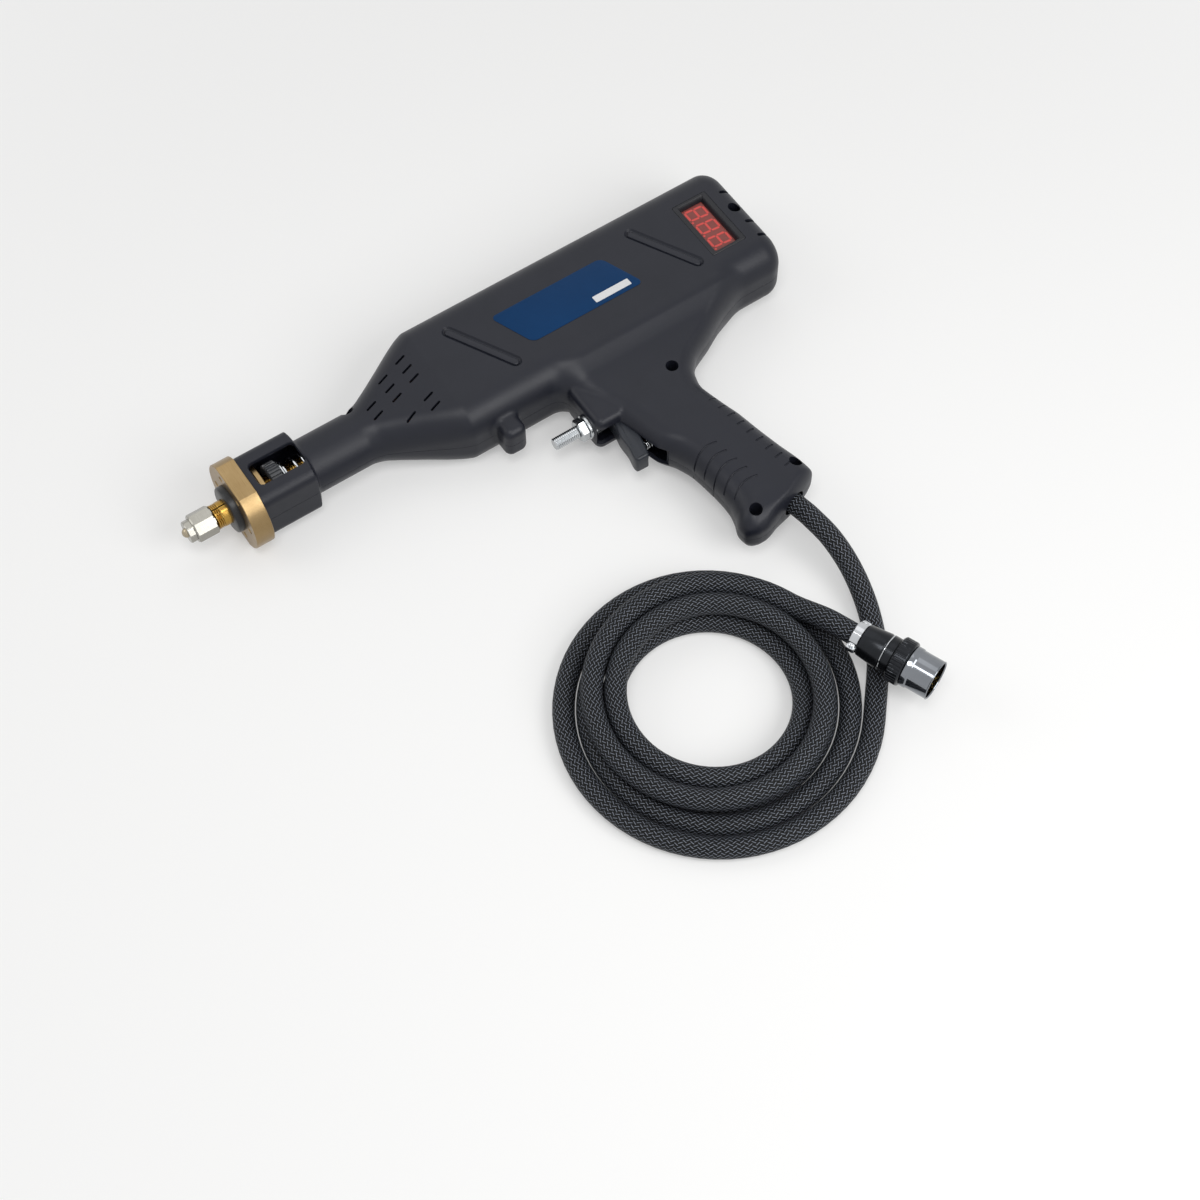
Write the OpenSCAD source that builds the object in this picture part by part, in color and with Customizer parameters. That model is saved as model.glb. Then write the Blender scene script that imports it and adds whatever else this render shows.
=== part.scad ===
// Hand-held stud welding gun lying on its right side, with its coiled lead and connector.
// The barrel points along -X, the grip along -Y, and +Z is the gun's left side.

/* [Housing] */
// Length of the housing from the barrel's mouth to the rear face
body_length = 361; // [350:1:390]
// Height of the body between its top edge and its bottom edge
body_height = 88; // [86:1:96]
// Thickness of the body between its two flat sides
body_thickness = 50; // [50:1:56]
// Radius of the body's long edges
body_edge_radius = 18; // [12:1:20]
// Radius of the edge round the rear face
rear_edge_radius = 12; // [8:1:14]
// Wall of both shells
wall = 2.6; // [2.2:0.1:2.8]

/* [Nose] */
// Length of the squared barrel
barrel_length = 38; // [38:1:46]
// Width of the squared barrel
barrel_width = 40; // [40:1:44]
// Radius of the barrel's long edges
barrel_edge_radius = 7; // [5:1:9]
// Diameter of the round neck behind the barrel
neck_diameter = 35.2; // [35:0.1:38]
// Length of the round neck
neck_length = 36; // [35:1:42]
// Length over which the neck widens into the body
taper_length = 58; // [50:1:70]
// Length of the window over the adjuster
window_length = 31; // [29:1:32]
// Width of the window over the adjuster
window_width = 17.5; // [14:0.5:20]
// Diameter of the brass flange
flange_diameter = 56; // [54:1:60]
// Thickness of the brass flange
flange_thickness = 12; // [10:0.5:14]
// Distance between the flange's two flats
flange_flat_span = 48.8; // [44:0.2:49.8]
// Number of threaded holes in the flange
flange_hole_count = 6; // [4:1:8]
// Pitch circle of the threaded holes
flange_hole_circle = 40; // [38:0.5:42]
// Diameter of the threaded holes
flange_hole_diameter = 3.4; // [2.6:0.2:4]
// Diameter of the insulating bush's visible lip
bush_diameter = 30; // [27:1:34]
// Thickness of the insulating bush's lip
bush_lip = 4.7; // [3:0.1:5]

/* [Electrode] */
// Diameter of the electrode shaft
shaft_diameter = 15.8; // [14:0.2:16.2]
// Stroke of the electrode into the gun
electrode_travel = 6; // [4:0.5:7]
// Distance across the chuck nut's flats
nut_across_flats = 17; // [16:0.5:20]
// Length of the chuck nut's wide part
nut_length = 13.5; // [13:0.5:18]
// Diameter of the chuck nut's front collar
nut_collar_diameter = 14; // [12:0.5:15]
// Diameter of the electrode tip
tip_diameter = 6.4; // [5:0.2:7]
// Diameter of the adjuster ring
adjuster_diameter = 28; // [26:0.5:28.6]
// Length of the adjuster ring
adjuster_length = 8; // [6:0.5:9]
// Number of flutes round the adjuster ring
adjuster_flutes = 34; // [24:1:40]
// Wire diameter of the return spring
spring_wire = 2; // [1.4:0.1:2.2]
// Diameter of the return spring at the middle of its wire
spring_diameter = 20.8; // [19.6:0.2:21.2]
// Number of curls in the return spring
spring_curls = 5; // [4:1:6]

/* [Grip] */
// Drop of the grip's toe below the body's bottom edge
grip_drop = 149; // [146:1:160]
// Depth of the grip from front to back
grip_depth = 50; // [49:0.5:56]
// Thickness of the grip
grip_thickness = 33; // [33:0.5:38]

/* [Trigger] */
// Length of the trigger below its pivot
trigger_length = 39.5; // [38:0.5:42]
// Width of the trigger across the grip
trigger_width = 14; // [11:0.5:14.5]
// Diameter of the trigger's pivot pin
trigger_pin_diameter = 3.2; // [2.6:0.1:3.6]

/* [Display] */
// Length of the display bezel across the body
bezel_length = 45; // [43:0.5:50]
// Width of the display bezel along the body
bezel_width = 24.8; // [23:0.2:27]
// Length of the visible red window
display_length = 38; // [34:0.5:40]
// Width of the visible red window
display_width = 15.5; // [14:0.5:18]

/* [Transformer] */
// Length of the laminated core
core_length = 84; // [80:1:92]
// Room between the laminated core and the body's top and bottom edges
core_side_room = 9; // [8:0.5:11]
// Depth of the stack of laminations
core_depth = 34; // [30:0.5:35]

/* [Terminal] */
// Diameter of the earth terminal's stud
stud_diameter = 8; // [6:0.5:8.5]
// Length of the stud in front of the hood
stud_length = 24; // [18:1:26]
// Distance across the terminal nuts' flats
terminal_nut_flats = 13; // [11:0.5:14]

/* [Lead] */
// Diameter of the braided lead
lead_diameter = 13; // [10:0.5:13]
// Radius of the coil's first turn
coil_radius = 92; // [88:1:94]
// Distance between neighbouring turns of the coil
coil_pitch = 13.6; // [13.6:0.1:14.5]

/* [Connector] */
// Diameter of the connector's shell
connector_diameter = 25; // [23:0.5:26]
// Length of the connector's shell in front of its coupling ring
connector_mouth_length = 18; // [16:0.5:22]
// Number of contact pins in the ring
connector_pin_count = 5; // [4:1:7]
// Diameter of a contact pin
connector_pin_diameter = 2.2; // [1.6:0.1:2.6]

/* [Hidden] */
$fn = 48;

// Shared fits
overrun = 1;
running_fit = 0.05;
assembly_gap = 0.3;
seat_gap = 0.1;

// Housing places, measured along X from the barrel's mouth and along Y from the nose axis
axis_z = body_thickness / 2;
half_height = body_height / 2;
barrel_half = barrel_width / 2;
neck_radius = neck_diameter / 2;
mouth_round = 1.5;
step_run = 2.5;
taper_start = barrel_length + neck_length;
corner_steps = 6;
rear_steps = 3;
// Share of the taper's length, share of its growth
taper_shares = [[0, 0], [0.12, 0.05], [0.26, 0.19], [0.5, 0.47], [0.8, 0.83], [0.92, 0.95], [1, 1]];

// Nose pieces
spigot_length = 9;
spigot_radius = barrel_half - wall - assembly_gap;
retainer_front = 4;
retainer_width = 2;
retainer_depth = 2.6;
flange_hole_depth = 9;
bush_sleeve_radius = 11;
bush_sleeve_wall = bush_sleeve_radius - shaft_diameter / 2 - running_fit;
shaft_radius = shaft_diameter / 2;
bore_radius = shaft_radius + running_fit;

// Electrode train along X
nut_rear = -25.9;
nut_front = nut_rear - nut_length;
nut_collar_length = 4.2;
nut_thread_radius = 6;
nut_wall_front = 1.2;
tip_reach = 2.6;
tip_front = nut_front - nut_collar_length - tip_reach;
tip_collar_length = 2.6;
tip_collar_radius = 5.5;
stub_inset = 4.4;
stub_front = nut_front + stub_inset;
shaft_shoulder = nut_rear + assembly_gap;
shaft_overhang = 18;
shaft_rear = taper_start + shaft_overhang;
slit_width = 0.8;
slit_rear = -14;
adjuster_front = 13.8;
adjuster_rear = adjuster_front + adjuster_length;
flute_radius = 0.8;
washer_thickness = 1.2;
washer_front = adjuster_rear + seat_gap;
washer_rear = washer_front + washer_thickness;
washer_radius = 13;
guide_setback = 22;
guide_front = taper_start - guide_setback;
guide_length = 8;
guide_rear = guide_front + guide_length;
guide_radius = 12;
guide_groove_depth = 1.6;
circlip_thickness = 1.2;
circlip_height = 3.4;
circlip_groove = 1;
window_start = 4.9;
window_corner = 3;

// Flexible link and earth bar
link_width = 14;
link_thickness = 3;
link_screw_radius = 2.5;
link_screw_length = 12;
link_head_radius = 5;
link_head_height = 3.4;
bar_width = 8;
bar_thickness = 1.6;
bar_neck_drop = 12.4;
bar_barrel_drop = 14.7;
bar_lug_drop = 9.5;

// Transformer
core_front_share = 0.4765;
core_leg_share = 0.343;
core_window_share = 0.1715;
core_front = body_length * core_front_share;
core_height = body_height - 2 * core_side_room;
core_leg = core_height * core_leg_share;
core_window = core_height * core_window_share;
core_yoke = 11;
winding_gap = 0.4;
winding_reach = 4.4;
secondary_length = 18;
winding_split = 2;
tab_width = 18;
tab_reach = 22;
tab_overlap = 13;

// Grip table: share of the drop, front edge, back edge and half thickness as shares
grip_top_x = 232.8;
grip_lean_share = 0.19;
grip_round_share = 0.8;
grip_shares = [
    [-0.03, -0.80, 1.90, 1.40], [0.013, -0.82, 1.70, 1.25], [0.054, -0.81, 1.43, 1.12],
    [0.10, -0.77, 1.16, 1.05], [0.168, -0.71, 0.74, 1.00], [0.24, -0.65, 0.54, 1.00],
    [0.32, -0.62, 0.46, 1.00], [0.436, -0.60, 0.48, 1.00], [0.516, -0.50, 0.50, 1.00],
    [0.597, -0.46, 0.50, 1.00], [0.718, -0.48, 0.51, 1.00], [0.819, -0.53, 0.53, 1.00],
    [0.877, -0.60, 0.52, 1.00], [0.933, -0.69, 0.22, 0.95], [0.967, -0.70, -0.16, 0.82],
    [1.00, -0.60, -0.42, 0.50]];

// Hood over the trigger and the lobe in front of the terminal
hood_setback = 39.3;
hood_front = grip_top_x - hood_setback;
hood_depth = 24;
hood_drop = 38;
hood_half = 14;
lobe_setback = 87.8;
lobe_front = grip_top_x - lobe_setback;
lobe_depth = 15;
lobe_drop = 13;
lobe_half = 12;
boss_overlap = 4;
boss_round = 5;
boss_foot_share = 0.7;

// Housing screws: X along the housing, Y from the nose axis
screw_offsets = [[2, -4], [-8, 2], [21.5, -27.6], [3.7, 10.5], [43.2, 25]];
toe_y = -half_height - grip_drop;
screw_places = [
    [taper_start, neck_radius] + screw_offsets[0], [body_length, 0] + screw_offsets[1],
    [grip_top_x, -half_height] + screw_offsets[2], [grip_top_x, toe_y] + screw_offsets[3],
    [grip_top_x, toe_y] + screw_offsets[4]];
well_radius = 4;
screw_radius = 1.75;
screw_length = 10;
screw_head_radius = 3.2;
screw_head_height = 2.4;
screw_seat = 3;
screw_boss_wall = 1.1;

// Vents: columns of slots on both sides and slots over the rear edge
vent_length = 8;
vent_width = 1.5;
vent_slant = 16;
vent_pitch = 8.1;
vent_column_pitch = 15.2;
vent_first_x = 88;
vent_row_shares = [[0.5, -0.5], [1.9, 0.9, -0.1, -2.1], [2.5, 1.5, 0.5, -1.5, -2.5]];
rear_vent_rows = [16.5, -11.5, -24.5];
rear_vent_width = 1.8;
rear_vent_reach = 9;
rear_vent_drop = 10;

// Display stack, measured down from the body's left side
display_inset = 29;
display_x = body_length - display_inset;
bezel_proud = 0.3;
bezel_lip = 1.6;
bezel_lip_thickness = 1;
lens_thickness = 1.2;
lens_margin = 3;
bezel_flare = 1.6;
module_length = 37.6;
module_width = 19;
module_height = 8;
board_length = 64;
board_width = 30;
board_thickness = 1.6;
board_hole_inset = 3.5;
post_radius = 3;
board_screw_radius = 1.2;
board_screw_length = 8;
board_head_radius = 2.6;
board_head_height = 1.8;
bezel_base = body_thickness - wall - seat_gap - bezel_lip_thickness;
lens_top = bezel_base - seat_gap;
module_top = lens_top - lens_thickness - seat_gap;
board_top = module_top - module_height - seat_gap;

// Diagonal ribs on the left side
rib_place_share = 0.4543;
rib_setback = 34;
rib_x = [body_length * rib_place_share, display_x - rib_setback];
rib_run = 22;
rib_rise = 41;
rib_slot_radius = 3.6;
rib_radius = 2.2;
rib_depth = 1.3;
rib_height = 0.9;

// Label plate: corners as shares of its length and height
label_shift = 5;
label_margin = 41;
label_x = (rib_x[0] + rib_x[1]) / 2 - label_shift;
label_length = rib_x[1] - rib_x[0] - label_margin;
label_height = 30;
label_lean_share = 0.13;
label_round = 4;
label_thickness = 0.3;

// Trigger: outline as shares of its depth and of its length below the pivot
pivot_setback = 22.8;
pivot_x = grip_top_x - pivot_setback;
pivot_drop = 28;
pivot_y = -half_height - pivot_drop;
trigger_depth = 14;
trigger_shares = [[-0.28, -0.05], [-0.38, 0.3], [-0.48, 0.5], [-0.5, 0.7], [-0.61, 0.93], [-0.54, 0.99],
    [-0.04, 1], [0.17, 0.81], [0.31, 0.56], [0.38, 0.35], [0.31, 0.05]];
trigger_hub_radius = 4.5;
trigger_slot_gap = 0.5;
trigger_slot_front = -16;
trigger_slot_back = 12;
trigger_slot_top = 6;
trigger_slot_bottom = 48;
pin_boss_wall = 2.4;
switch_setback = 10.8;
switch_x = grip_top_x - switch_setback;
switch_drop = 16;
switch_length = 19;
switch_height = 10;
switch_width = 10;
switch_hole_pitch = 9.5;
switch_hole_radius = 1.2;
switch_post_radius = 2.6;
plunger_radius = 1.9;
plunger_depth = 4.6;
plunger_gap = 0.4;
trigger_face_share = 0.37;
return_drop = 29;
return_seat_setback = 6.8;
return_seat_x = grip_top_x - return_seat_setback;
return_seat_thickness = 2.2;
return_seat_height = 10;
return_face_share = 0.22;
return_spring_radius = 2.6;
return_spring_wire = 0.8;
return_spring_curls = 5;

// Earth terminal
terminal_drop = 26;
terminal_y = -half_height - terminal_drop;
terminal_nut_length = 5.2;
terminal_washer_thickness = 1.8;
terminal_washer_radius = 8;
stud_inside = 9;
stud_step = 0.5;
stud_seat_radius = stud_diameter / 2 - stud_step;

// Lead outlet at the grip's lower end
outlet_setback = 31.2;
outlet_rise = 8.4;
outlet_x = grip_top_x + outlet_setback;
outlet_y = toe_y + outlet_rise;
outlet_turn = atan(grip_lean_share);
gland_radius = 8;
gland_length = 16;
gland_recess = 6;
gland_collar_radius = 10;
gland_collar_length = 4;
gland_collar_start = 4;
gland_seat_wall = 3.4;
outlet_length = 44;

// The frame's origin lies under the middle of the gun's box
ref_x = (tip_front + body_length) / 2;
ref_y = (half_height + toe_y) / 2;

// Lead route after the gland, in the frame, and the coil's place
lead_radius = lead_diameter / 2;
lead_sides = 10;
lead_route = [[109, -124, 25], [111, -141, 23], [111, -160, 17], [107, -180, 11.5], [100, -198, 8],
    [91, -214, 6.8]];
lead_steps = 3;
coil_centre = [-5, -185];
coil_start_angle = -40;
coil_span = 1740;
coil_turn_back = 1108;
coil_climb_span = 180;
coil_soft_span = 20;
coil_step = 15;
coil_sides = 6;
coil_layer = coil_pitch;
coil_floor_gap = 0.1;
coil_z = lead_radius + coil_floor_gap;
tail_run = 32;
tail_steps = 4;

// Connector along its axis from the cable end
connector_z = 27;
backshell_length = 15;
backshell_step = 1.2;
backshell_radius = connector_diameter / 2 - backshell_step;
backshell_rear_radius = 9.6;
neck_ring_length = 6;
ring_length = 9;
ring_wall = 1.4;
ring_flutes = 40;
ring_flute_radius = 0.5;
mouth_wall = 1.3;
mouth_depth = 14;
insert_thickness = 3;
pin_reach = 6;
pin_circle_share = 0.62;
pin_tail = 2;
clamp_length = 6;
clamp_width = 21;
clamp_wall = 2;
clamp_screw_radius = 1.2;
clamp_head_radius = 2.2;
clamp_head_height = 1.6;
shell_length = neck_ring_length + ring_length + connector_mouth_length;

// Places everything in the frame
module place() {
    translate([-ref_x, -ref_y, 0]) children();
}

// Turns a shape that stands along Z so that it lies along X on the nose axis
module along_x(x) {
    translate([x, 0, axis_z]) rotate([0, 90, 0]) children();
}

// A washer-like tube along Z
module tube(length, outer, inner) {
    difference() {
        cylinder(h = length, r = outer);
        translate([0, 0, -overrun]) cylinder(h = length + 2 * overrun, r = inner);
    }
}

// A block centred on X and Y that stands on its base
module block(size) {
    translate([-size.x / 2, -size.y / 2, 0]) cube(size);
}

// One rounded section across X, and one across Y
function x_ring(x, half_y, half_z, round) = [
    for (q = [0 : 3]) for (i = [0 : corner_steps])
        let (a = 90 * q + 90 * i / corner_steps, sy = q == 0 || q == 3 ? 1 : -1, sz = q < 2 ? 1 : -1)
        [x, sy * (half_y - round) + round * cos(a), axis_z + sz * (half_z - round) + round * sin(a)]];

function y_ring(y, front, back, half_z, round) = [
    for (q = [0 : 3]) for (i = [0 : corner_steps])
        let (a = 90 * q + 90 * i / corner_steps, sx = q == 0 || q == 3 ? 1 : -1, sz = q < 2 ? 1 : -1)
        [(front + back) / 2 + sx * ((back - front) / 2 - round) + round * cos(a), y,
            axis_z + sz * (half_z - round) + round * sin(a)]];

// A closed skin over a row of rings
module loft(rings) {
    m = len(rings[0]);
    n = len(rings);
    sides = [for (i = [0 : n - 2]) for (j = [0 : m - 1])
        let (a = i * m + j, b = i * m + (j + 1) % m)
        each [[a, a + m, b + m], [a, b + m, b]]];
    caps = [[for (j = [0 : m - 1]) j], [for (j = [m - 1 : -1 : 0]) (n - 1) * m + j]];
    polyhedron(points = [for (ring = rings) each ring], faces = concat(sides, caps), convexity = 6);
}

// Sections of the barrel, neck and body, drawn in by an inset
function body_rings(inset) = let (
    mouth = inset > 0 ? -overrun : 0,
    chamfer = inset > 0 ? 0 : mouth_round,
    rear_round = max(rear_edge_radius - inset, wall),
    rear = body_length - inset - rear_round,
    hy = half_height - inset,
    hz = axis_z - inset,
    edge = body_edge_radius - inset,
    b = barrel_half - inset,
    e = barrel_edge_radius - inset,
    n = neck_radius - inset)
    concat(
        [x_ring(mouth, b - chamfer, b - chamfer, e - chamfer), x_ring(mouth_round, b, b, e),
            x_ring(barrel_length - step_run, b, b, e)],
        [x_ring(barrel_length, n, n, n)],
        [for (s = taper_shares) x_ring(taper_start + s[0] * taper_length, n + s[1] * (hy - n),
            n + s[1] * (hz - n), n + s[1] * (edge - n))],
        [for (k = [0 : rear_steps]) let (a = 90 * k / rear_steps, d = rear_round * (1 - cos(a)))
            x_ring(rear + rear_round * sin(a), hy - d, hz - d, max(edge - d, wall))]);

function grip_rings(inset) = [
    for (s = grip_shares) let (
        drop = s[0] * grip_drop,
        c = grip_top_x + grip_lean_share * drop,
        half = s[3] * grip_thickness / 2 - inset,
        front = c + s[1] * grip_depth + inset,
        back = c + s[2] * grip_depth - inset,
        y = -half_height - min(drop, grip_drop - inset))
        y_ring(y, front, back, half, grip_round_share * min(half, (back - front) / 2))];

// A rounded boss that hangs from the body's bottom edge
function boss_rings(front, depth, drop, half, inset) = [
    for (s = [[0, 1], [1 - boss_round / drop, 1], [1, boss_foot_share]])
        let (top = -half_height + boss_overlap + wall, y = top - s[0] * (drop + boss_overlap + wall - inset),
            shrink = (1 - s[1]) * boss_round)
        y_ring(y, front + inset + shrink, front + depth - inset - shrink, half - inset - shrink, boss_round)];

module housing(inset) {
    loft(body_rings(inset));
    loft(grip_rings(inset));
    loft(boss_rings(hood_front, hood_depth, hood_drop, hood_half, inset));
    loft(boss_rings(lobe_front, lobe_depth, lobe_drop, lobe_half, inset));
}

// Plates across the nose that hold a grooved piece
module retainer(front, width, groove_radius) {
    along_x(front + assembly_gap / 2) difference() {
        cylinder(h = width - assembly_gap, r = barrel_half * sqrt(2));
        translate([0, 0, -overrun]) cylinder(h = width + overrun, r = groove_radius + assembly_gap);
    }
}

module outlet_axis() {
    translate([outlet_x, outlet_y, axis_z]) rotate([0, 0, outlet_turn]) rotate([90, 0, 0]) children();
}

// Everything inside the shells that holds a piece
module inner_supports() {
    retainer(retainer_front, retainer_width, spigot_radius - retainer_depth);
    retainer(guide_front + guide_length / 2 - retainer_width / 2, retainer_width,
        guide_radius - guide_groove_depth);
    for (p = screw_places) translate([p.x, p.y, 0])
        cylinder(h = body_thickness, r = well_radius + screw_boss_wall);
    for (s = [-1, 1]) {
        translate([pivot_x, pivot_y, axis_z + s * (trigger_width / 2 + assembly_gap + axis_z / 2)])
            block_post(trigger_pin_diameter / 2 + pin_boss_wall, axis_z);
        for (k = [-1, 1])
            translate([switch_x + switch_length / 2 + k * switch_hole_pitch / 2, pivot_y - switch_drop,
                axis_z + s * (switch_width / 2 + seat_gap + axis_z / 2)])
                block_post(switch_post_radius, axis_z);
    }
    translate([return_seat_x, pivot_y - return_drop - return_seat_height / 2, 0])
        cube([return_seat_thickness, return_seat_height, body_thickness]);
    outlet_axis() translate([0, 0, gland_recess - gland_length - gland_recess * 2])
        cylinder(h = gland_length, r = gland_radius + assembly_gap + gland_seat_wall);
}

module block_post(radius, height) {
    cylinder(h = height, r = radius, center = true);
}

// Slots through one side of the housing
module vents() {
    for (c = [0 : len(vent_row_shares) - 1]) for (row = vent_row_shares[c])
        translate([vent_first_x + c * vent_column_pitch, row * vent_pitch, axis_z]) rotate([0, 0, vent_slant])
            hull() for (s = [-1, 1]) translate([s * (vent_length - vent_width) / 2, 0, 0])
                cylinder(h = body_thickness, d = vent_width, $fn = 12);
    for (row = rear_vent_rows)
        translate([body_length - rear_vent_reach, row - rear_vent_width / 2, body_thickness - rear_vent_drop])
            cube([rear_vent_reach + overrun, rear_vent_width, rear_vent_drop + overrun]);
}

// Cuts that both shells share
module common_cuts() {
    for (p = screw_places) translate([p.x, p.y, axis_z + screw_seat - screw_length - assembly_gap])
        cylinder(h = body_thickness, r = screw_radius + assembly_gap, $fn = 24);
    for (p = screw_places) translate([p.x, p.y, axis_z + screw_seat])
        cylinder(h = body_thickness, r = well_radius, $fn = 32);
    translate([pivot_x + trigger_slot_front, pivot_y - trigger_slot_bottom,
        axis_z - trigger_width / 2 - trigger_slot_gap])
        cube([trigger_slot_back - trigger_slot_front, trigger_slot_bottom + trigger_slot_top,
            trigger_width + 2 * trigger_slot_gap]);
    translate([pivot_x, pivot_y, axis_z - hood_half + wall])
        cylinder(h = 2 * (hood_half - wall), r = trigger_pin_diameter / 2 + assembly_gap, $fn = 24);
    translate([0, terminal_y, 0]) along_x(hood_front - overrun)
        cylinder(h = wall + 2 * overrun, r = stud_diameter / 2 + assembly_gap, $fn = 32);
    outlet_axis() translate([0, 0, gland_recess - outlet_length])
        cylinder(h = 2 * outlet_length, r = gland_radius + assembly_gap, $fn = 32);
    outlet_axis() translate([0, 0, -gland_recess - gland_length + gland_collar_start - assembly_gap])
        cylinder(h = gland_collar_length + 2 * assembly_gap, r = gland_collar_radius + assembly_gap,
            $fn = 32);
    translate([guide_front, -bar_width / 2 - assembly_gap,
        axis_z - bar_neck_drop - bar_thickness - assembly_gap])
        cube([guide_length, bar_width + 2 * assembly_gap, bar_thickness + 2 * assembly_gap]);
}

module shell_walls() {
    difference() {
        union() {
            difference() {
                housing(0);
                housing(wall);
            }
            intersection() {
                housing(wall / 2);
                inner_supports();
            }
        }
        common_cuts();
    }
}

module half_space(side) {
    translate([tip_front, -half_height - grip_drop - overrun, side > 0 ? axis_z : -overrun])
        cube([body_length - tip_front + overrun, body_height + grip_drop + 2 * overrun, axis_z + overrun]);
}

// A diagonal stadium on the left side
module diagonal(x, radius, base, height) {
    hull() for (s = [-1, 1]) translate([x + s * rib_run / 2, -s * rib_rise / 2, base])
        cylinder(h = height, r = radius, $fn = 24);
}

module board_places() {
    for (sx = [-1, 1]) for (sy = [-1, 1])
        translate([display_x + sx * (board_width / 2 - board_hole_inset),
            sy * (board_length / 2 - board_hole_inset), 0]) children();
}

module left_shell() color("#35363a") place() {
    difference() {
        intersection() {
            shell_walls();
            half_space(1);
        }
        vents();
        hull() for (sx = [0, 1]) for (sy = [-1, 1])
            translate([window_start + window_corner + sx * (window_length - 2 * window_corner),
                sy * (window_width / 2 - window_corner), axis_z])
                cylinder(h = axis_z, r = window_corner, $fn = 24);
        translate([display_x, 0, axis_z + wall])
            block([bezel_width + 2 * seat_gap, bezel_length + 2 * seat_gap, axis_z]);
        translate([display_x, 0, bezel_base - seat_gap])
            block([bezel_width + 2 * (bezel_lip + seat_gap), bezel_length + 2 * (bezel_lip + seat_gap),
                bezel_lip_thickness + 2 * seat_gap]);
        for (x = rib_x) diagonal(x, rib_slot_radius, body_thickness - rib_depth, body_thickness);
    }
    for (x = rib_x) diagonal(x, rib_radius, body_thickness - rib_depth - wall / 4, rib_height + wall / 4);
    difference() {
        intersection() {
            board_places() translate([0, 0, board_top + seat_gap])
                cylinder(h = body_thickness - board_top, r = post_radius, $fn = 24);
            housing(wall / 2);
        }
        board_places() translate([0, 0, board_top - overrun])
            cylinder(h = board_screw_length, r = board_screw_radius + assembly_gap, $fn = 24);
    }
}

module right_shell() color("#303135") place() {
    difference() {
        intersection() {
            shell_walls();
            half_space(-1);
        }
        translate([0, 0, body_thickness]) mirror([0, 0, 1]) vents();
    }
}

module housing_screws() color("#6d6f72") place() {
    for (p = screw_places) translate([p.x, p.y, axis_z + screw_seat]) {
        cylinder(h = screw_head_height, r = screw_head_radius);
        translate([0, 0, -screw_length]) cylinder(h = screw_length, r = screw_radius);
    }
}

module name_label() color("#1d4470") place() {
    hull() for (sx = [-1, 1]) for (sy = [-1, 1])
        translate([label_x + sx * (label_length * (1 / 2 - label_lean_share / 2) - label_round)
            - sy * label_length * label_lean_share / 2, sy * (label_height / 2 - label_round),
            body_thickness])
            cylinder(h = label_thickness, r = label_round, $fn = 24);
}

module display_bezel() color("#232427") place() {
    translate([display_x, 0, 0]) difference() {
        union() {
            translate([0, 0, bezel_base])
                block([bezel_width + 2 * bezel_lip, bezel_length + 2 * bezel_lip, bezel_lip_thickness]);
            translate([0, 0, bezel_base])
                block([bezel_width, bezel_length, body_thickness + bezel_proud - bezel_base]);
        }
        translate([0, 0, bezel_base - overrun]) block([display_width, display_length, body_thickness]);
        translate([0, 0, body_thickness + bezel_proud - bezel_flare])
            block([display_width + 2 * bezel_flare, display_length + 2 * bezel_flare, body_thickness]);
    }
}

module display_lens() color("#8a2f2b") place() {
    translate([display_x, 0, lens_top - lens_thickness])
        block([display_width + 2 * lens_margin, display_length + 2 * lens_margin, lens_thickness]);
}

module display_module() color("#3b1414") place() {
    translate([display_x, 0, module_top - module_height]) block([module_width, module_length, module_height]);
}

module control_board() color("#1f5a37") place() {
    difference() {
        translate([display_x, 0, board_top - board_thickness])
            block([board_width, board_length, board_thickness]);
        board_places() translate([0, 0, board_top - board_thickness - overrun])
            cylinder(h = board_thickness + 2 * overrun, r = board_screw_radius + seat_gap);
    }
}

module board_screws() color("#b9bcc0") place() {
    board_places() translate([0, 0, board_top - board_thickness]) {
        translate([0, 0, -board_head_height - seat_gap])
            cylinder(h = board_head_height, r = board_head_radius);
        translate([0, 0, -seat_gap - overrun]) cylinder(h = board_screw_length, r = board_screw_radius);
    }
}

module transformer_core() color("#55585c") place() {
    translate([core_front, 0, axis_z]) difference() {
        translate([0, -core_height / 2, -core_depth / 2]) cube([core_length, core_height, core_depth]);
        for (s = [-1, 1])
            translate([core_yoke, s * (core_leg + core_window) / 2 - core_window / 2, -core_depth])
            cube([core_length - 2 * core_yoke, core_window, 2 * core_depth]);
    }
}

// A rectangular winding round the core's middle leg
module winding(start, length) {
    reach_y = core_leg / 2 + core_window - 2 * winding_gap;
    reach_z = core_depth / 2 + winding_reach;
    translate([core_front + core_yoke + start, 0, axis_z]) difference() {
        translate([0, -reach_y, -reach_z]) cube([length, 2 * reach_y, 2 * reach_z]);
        translate([-overrun, -core_leg / 2 - winding_gap, -core_depth / 2 - winding_gap])
            cube([length + 2 * overrun, core_leg + 2 * winding_gap, core_depth + 2 * winding_gap]);
    }
}

module primary_winding() color("#9c5a2c") place() {
    start = secondary_length + winding_split;
    winding(start, core_length - 2 * core_yoke - start - winding_gap);
}

module secondary_winding() color("#b87333") place() {
    reach = winding_reach - winding_gap;
    winding(winding_gap, secondary_length);
    for (s = [-1, 1])
        translate([core_front - tab_reach, -tab_width / 2,
            axis_z + s * (core_depth / 2 + winding_gap + reach / 2) - reach / 2])
            cube([tab_reach + core_yoke + 2 * winding_gap, tab_width, reach]);
}

// A plate drawn as a side outline in X and Z and given a width in Y
module side_plate(points, width) {
    translate([0, width / 2, axis_z]) rotate([90, 0, 0]) linear_extrude(height = width) polygon(points);
}

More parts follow.
